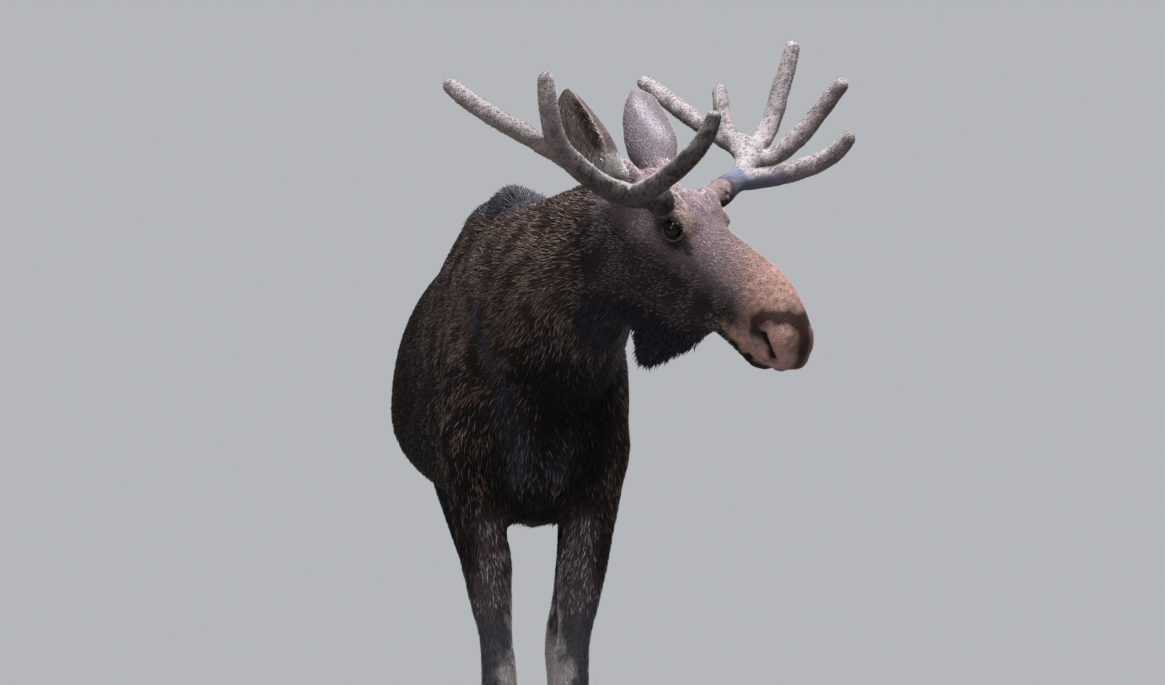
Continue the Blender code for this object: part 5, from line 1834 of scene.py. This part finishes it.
def velvet_hue(points, normals):
    """Pale above with painted shade below, mottled, with painted shade under the right foot, darker at the
    tips, bluish at the left foot, and dark on the burrs, with mauve hair on the left one."""
    h = to_head(points)
    rise = normals[:, 2]
    spots = step(0.1, 1.0, waves(points, 0.011, 51) * 0.7 + waves(points, 0.035, 52) * 0.55)
    # Painted shade where the velvet faces down.
    underside_shade = step(0.55, -0.45, rise + 0.25 * waves(points, 0.05, 55))
    # Painted shade under the right beam near its foot.
    near = step(-8, -13, h[:, 1]) * step(-16, -6, h[:, 0])
    at_tip = step(3.0, 0.4, tip_distance(h))
    patchy = step(-0.6, 0.6, waves(points, 0.03, 54))
    edge = np.abs(h[:, 1]) + 0.55 * waves(points, 0.025, 56)
    burr = step(BURR_AT + 4.0, BURR_AT + 1.6, edge) * step(9, 5, np.abs(h[:, 0] - BURR_FORWARD))
    haired = step(BURR_AT + 2.4, BURR_AT + 1.0, edge) * step(-3, 3, h[:, 1]) * step(-0.5, 0.2, rise)
    return tinted(
        plain(VELVET_PALE, len(points)) * (1 + 0.12 * waves(points, 0.2, 53))[:, None],
        (VELVET_DARK, 0.62 * spots),
        (VELVET_UNDERSIDE_SHADE, 0.62 * underside_shade),
        (VELVET_SHADED, (0.70 + 0.25 * spots) * near * step(0.80, 0.30, rise)),
        (VELVET_DARK, 0.35 * at_tip * patchy),
        (VELVET_BLUE, 0.85 * worn_share(h, normals)),
        (BURR_BROWN, burr),
        (BURR_MAUVE, 0.85 * haired * burr),
    )


def worn_share(h, normals):
    """Where the left beam is worn smooth: all round its foot, and on below the first tine."""
    under = step(0.5, -0.1, normals[:, 2]) * step(28, 23, h[:, 1])
    edge = h[:, 1] + 0.7 * waves(h, 3.0, 57)
    foot = step(22.0, 17.0, edge)
    return step(11.5, 13.0, edge) * np.maximum(foot, under) * step(10, 6, np.abs(h[:, 0] - 1.0))


def tip_distance(h):
    """How far points are from the nearest tip of a tine."""
    tips = [branch[-1][:3] for branches in ANTLERS.values() for branch in branches[1:]]
    return np.min([np.linalg.norm(h - tip, axis=1) for tip in tips], axis=0)


# %% The way the fuzz lies
FUZZ_GAP = 0.0058
FUZZ_SIZE = np.array([0.0056, 0.0017, 0.0014])  # length, width and lift
FUZZ_ROOT = 0.0006  # how deep it is rooted
FUZZ_FROM = 9.0  # how far aside of the head's middle it begins, in centimetres


def fuzz_spacing(points, _):
    """The same gap all over."""
    return np.full(len(points), FUZZ_GAP)


def to_tines(side, roots, outwards):
    """The way along the nearest branch, laid on the surface and made to wander."""
    nearest = np.zeros_like(roots)
    best = np.full(len(roots), np.inf)
    for branch in ANTLERS[side]:
        line = on_head(along(branch, 40)[:, :3])
        course = unit(np.gradient(line, axis=0))
        apart = np.linalg.norm(roots[:, None] - line[None], axis=2)
        won = apart.min(1) < best
        best = np.where(won, apart.min(1), best)
        nearest = np.where(won[:, None], course[apart.argmin(1)], nearest)
    wander = np.stack([waves(roots, 0.03, 62 + axis) for axis in range(3)], -1)
    return laid_flat(nearest + 0.5 * wander, outwards)


# %% Velvet surface and its fuzz
even = stretched((1.0, 1.0, 1.0))
velvet_material = grained("velvet", even, 700.0, 0.40, roughness=0.85, bump=0.0008, shine=0.12, sheen=0.06)
up_hair = kept_vector("strand", (1.0, 0.1, 1.0))
fuzz_material = grained(
    "velvet_hair", up_hair, 3000.0, 0.25, roughness=0.75, bump=0.0002, shine=0.12, sheen=0.08
)
fuzz = {}
for side, thing in antlers.items():
    set_hue(thing, velvet_hue(places(thing.data), normals_of(thing.data)))
    thing.data.materials.append(velvet_material)
    roots, outwards = draw_roots(thing, fuzz_spacing, 61)
    h = to_head(roots)
    grows = (np.abs(h[:, 1]) > FUZZ_FROM) & (worn_share(h, outwards) < 0.4)
    roots, outwards = roots[grows], outwards[grows]
    ways = to_tines(side, roots, outwards)
    scatter = np.exp(draw.normal(0, 0.2, (len(roots), 1)))
    size = np.column_stack([FUZZ_SIZE * scatter, np.full(len(roots), FUZZ_ROOT)])
    hues = velvet_hue(roots, outwards) * np.where(draw.random(len(roots)) < 0.22, 0.60, 1.10)[:, None]
    foot, tip = on_head(ANTLERS[side][0][0][:3]), on_head(ANTLERS[side][-1][-1][:3])
    unroll = unrolled(foot, tip - foot, (0, 0, 1))
    fuzz[side] = tufts(f"velvet_hair_{side}", roots, outwards, ways, size, hues, hues * 1.15, unroll, draw)
    fuzz[side].data.materials.append(fuzz_material)
    print(fuzz[side].name, len(roots), "tufts,", 10 * len(roots), "triangles")

# %% [markdown]
# ## Eyes and horn
# The eye is dark all over: a black pupil, a very dark brown iris and brown-black round it, under a clear
# wet coat that mirrors the sky. Horn is grey-black and paler at the ground, with fine lines that run
# down it. The rings of its growth are in its shape.

# %% Eye and horn materials
IRIS_SIZE, IRIS_EDGE, PUPIL_LONG, PUPIL_HIGH = 0.62, 0.03, 0.40, 0.22  # as shares of the ball's radius
IRIS_BROWN = (0.0090, 0.0045, 0.0030)
EYE_BLACK = (0.0020, 0.0018, 0.0020)
HORN_DARK = (0.0300, 0.0260, 0.0250)
HORN_PALE = (0.1300, 0.1100, 0.0950)

eye_material = grained("eye", even, 900.0, 0.35, roughness=0.05, bump=0.00001, shine=0.10)
eye_shader = eye_material.node_tree.nodes["Principled BSDF"]
eye_shader.inputs["Coat Weight"].default_value = 0.15
eye_shader.inputs["Coat Roughness"].default_value = 0.02
down_claw = stretched((1.0, 1.0, 0.10))
horn_material = grained("horn", down_claw, 520.0, 0.40, roughness=0.42, bump=0.0006, shine=0.5)

for thing, eye, mirror in zip(eyes, EYE_PLACES, (-1, 1)):
    looking = unit(to_head(places(thing.data)) - eye) @ eye_frame(mirror).T
    out = np.hypot(looking[:, 0], looking[:, 1]) + (looking[:, 2] < 0)
    pupil = np.hypot(looking[:, 0] / PUPIL_LONG, looking[:, 1] / PUPIL_HIGH) + 3 * (looking[:, 2] < 0)
    iris = step(IRIS_SIZE + IRIS_EDGE, IRIS_SIZE - IRIS_EDGE, out)
    round_iris = plain(EYE_BLACK, len(out)) * 2
    set_hue(thing, tinted(round_iris, (IRIS_BROWN, iris), (EYE_BLACK, step(1.1, 0.9, pupil))))
    thing.data.materials.append(eye_material)
for thing in claws:
    points = places(thing.data)
    ground = step(0.055, 0.004, points[:, 2]) * (0.6 + 0.4 * waves(points, 0.03, 71))
    pale = 0.6 * np.clip(ground, 0, 1)
    set_hue(thing, tinted(plain(HORN_DARK, len(points)), (HORN_PALE, pale)))
    thing.data.materials.append(horn_material)

# %% Attach each piece to the body, and hide the solid model's nodes it replaces
SIDES = ("left", "right")
FLESH_NODES = ["trunk", "neck", "head", "beard", "tail", *[f"ear_{side}" for side in SIDES]]
for kind in ("foreleg", "hindleg"):
    for side in SIDES:
        FLESH_NODES += [f"{kind}_{side}_upper", f"{kind}_{side}_lower"]


def stand_for(thing, slot, *nodes):
    """Every piece rides on the one body and may replace nodes of the solid model; the slot is not used."""
    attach(thing, "root")
    if nodes:
        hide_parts(*nodes)


stand_for(skin, "coat", *FLESH_NODES)
for thing in coat.values():
    stand_for(thing, "coat")
for side, thing in antlers.items():
    stand_for(thing, "velvet", *[node for node in frame["nodes"] if node.startswith(f"antler_{side}")])
    stand_for(fuzz[side], "velvet")
for thing in eyes:
    stand_for(thing, "eye", thing.name.removeprefix("fine_"))
for thing in claws:
    stand_for(thing, "horn", thing.name.removeprefix("fine_"))

# %% [markdown]
# ## Floor, light and camera
# The floor and the world are pale and plain. Towards its rim the floor turns into a glow of the world's
# own colour, so no horizon shows. A broad soft light hangs overhead, a little in front, as an open sky
# does over a clearing, and weaker ones fill the front and give the back an edge. The camera stands far
# off with a long lens, level with the chest.

# %% Stage
FLOOR_RADIUS = 14.0
FLOOR_PLAIN, FLOOR_GLOWS = 2.5, 9.5  # metres from the middle, where the glow begins and is full
FLOOR_CORNERS = 96
FLOOR_GREY = (0.30, 0.30, 0.29)
GLOW_LIGHTS = 0.36  # the share of the world's and the rim's glow that lights the animal
WORLD_GREY = (0.46, 0.475, 0.49)


def glow_strength(tree):
    """1 for what the camera sees, less for what lights other things."""
    seen = add(tree, "ShaderNodeLightPath").outputs["Is Camera Ray"]
    feeds = {"Value": seen, "To Min": GLOW_LIGHTS, "To Max": 1.0}
    return add(tree, "ShaderNodeMapRange", feeds).outputs["Result"]


def floor_material():
    """Plain grey in the middle, black with the world's glow at the rim, by the distance from the middle."""
    material = bpy.data.materials.new("pale floor")
    material.use_nodes = True
    tree = material.node_tree
    shader = tree.nodes["Principled BSDF"]
    coordinates = add(tree, "ShaderNodeTexCoord").outputs["Object"]
    distance = add(tree, "ShaderNodeVectorMath", {0: coordinates}, operation="LENGTH").outputs["Value"]
    feeds = {"Value": distance, "From Min": FLOOR_PLAIN, "From Max": FLOOR_GLOWS}
    share = add(tree, "ShaderNodeMapRange", feeds, interpolation_type="SMOOTHERSTEP").outputs["Result"]
    for socket, inner, outer in (
        ("Base Color", FLOOR_GREY, (0, 0, 0)),
        ("Emission Color", (0, 0, 0), WORLD_GREY),
    ):
        feeds = {"Fac": share, "Color1": (*inner, 1), "Color2": (*outer, 1)}
        tree.links.new(add(tree, "ShaderNodeMixRGB", feeds).outputs["Color"], shader.inputs[socket])
    tree.links.new(glow_strength(tree), shader.inputs["Emission Strength"])
    shader.inputs["Roughness"].default_value = 0.9
    shader.inputs["Specular IOR Level"].default_value = 0.0
    return material


turn = np.linspace(0, 2 * math.pi, FLOOR_CORNERS, endpoint=False)
rim = np.stack([np.cos(turn), np.sin(turn), 0 * turn], -1) * FLOOR_RADIUS
floor = piece("floor", rim, [np.arange(FLOOR_CORNERS)[None]])
floor.data.materials.append(floor_material())

world = bpy.data.worlds.new("pale sky")
bpy.context.scene.world = world
world.use_nodes = True
sky = world.node_tree.nodes["Background"].inputs
sky["Color"].default_value = (*WORLD_GREY, 1)
world.node_tree.links.new(glow_strength(world.node_tree), sky["Strength"])

# %% Lights


def aimed(place, way):
    """The placing of a lamp or a camera that stands here and looks this way, upright."""
    return Matrix.Translation(place) @ Vector(way).to_track_quat("-Z", "Y").to_matrix().to_4x4()


def soft_light(name, place, aim, size, watts, colour):
    """A square area light that looks from its place to its aim."""
    lamp = bpy.data.lights.new(name, "AREA")
    lamp.size = size
    lamp.energy = watts
    lamp.color = colour
    thing = bpy.data.objects.new(name, lamp)
    bpy.context.scene.collection.objects.link(thing)
    thing.matrix_world = aimed(place, Vector(aim) - Vector(place))
    thing.visible_camera = False


soft_light("open sky", (0.4, -1.6, 6.0), (0, -0.3, 1.4), 3.4, 720, (0.95, 0.98, 1.0))
soft_light("front", (-3.5, -6.0, 2.6), (0, -0.8, 1.4), 3.0, 150, (1.0, 0.98, 0.95))
soft_light("edge", (3.0, 4.5, 4.2), (0, 0, 1.5), 3.0, 130, (0.92, 0.96, 1.0))

# %% Camera
CAMERA_DISTANCE = 18.0
CAMERA_ASIDE = 0.123
CAMERA_HEIGHT = 1.475
CAMERA_AZIMUTH = math.radians(-3.5)
FRAME_WIDTH, FOCAL = 1165, 6930  # in the same unit, so only their ratio counts
camera = bpy.data.objects.new("camera", bpy.data.cameras.new("camera"))
bpy.context.scene.collection.objects.link(camera)
bpy.context.scene.camera = camera
away = np.array([-math.sin(CAMERA_AZIMUTH), math.cos(CAMERA_AZIMUTH), 0.0])
right = np.array([math.cos(CAMERA_AZIMUTH), math.sin(CAMERA_AZIMUTH), 0.0])
stand = SHIFT * [1, 1, 0] + right * CAMERA_ASIDE - away * CAMERA_DISTANCE + [0, 0, CAMERA_HEIGHT]
camera.matrix_world = aimed(stand, away)
camera.data.sensor_width = 36.0
camera.data.lens = camera.data.sensor_width * FOCAL / FRAME_WIDTH
camera.data.clip_end = 200.0
print("camera at", stand.round(3), "lens", round(camera.data.lens, 1), "mm")

bpy.context.scene.view_settings.view_transform = "Standard"

# %% The last line
bpy.context.view_layer.update()
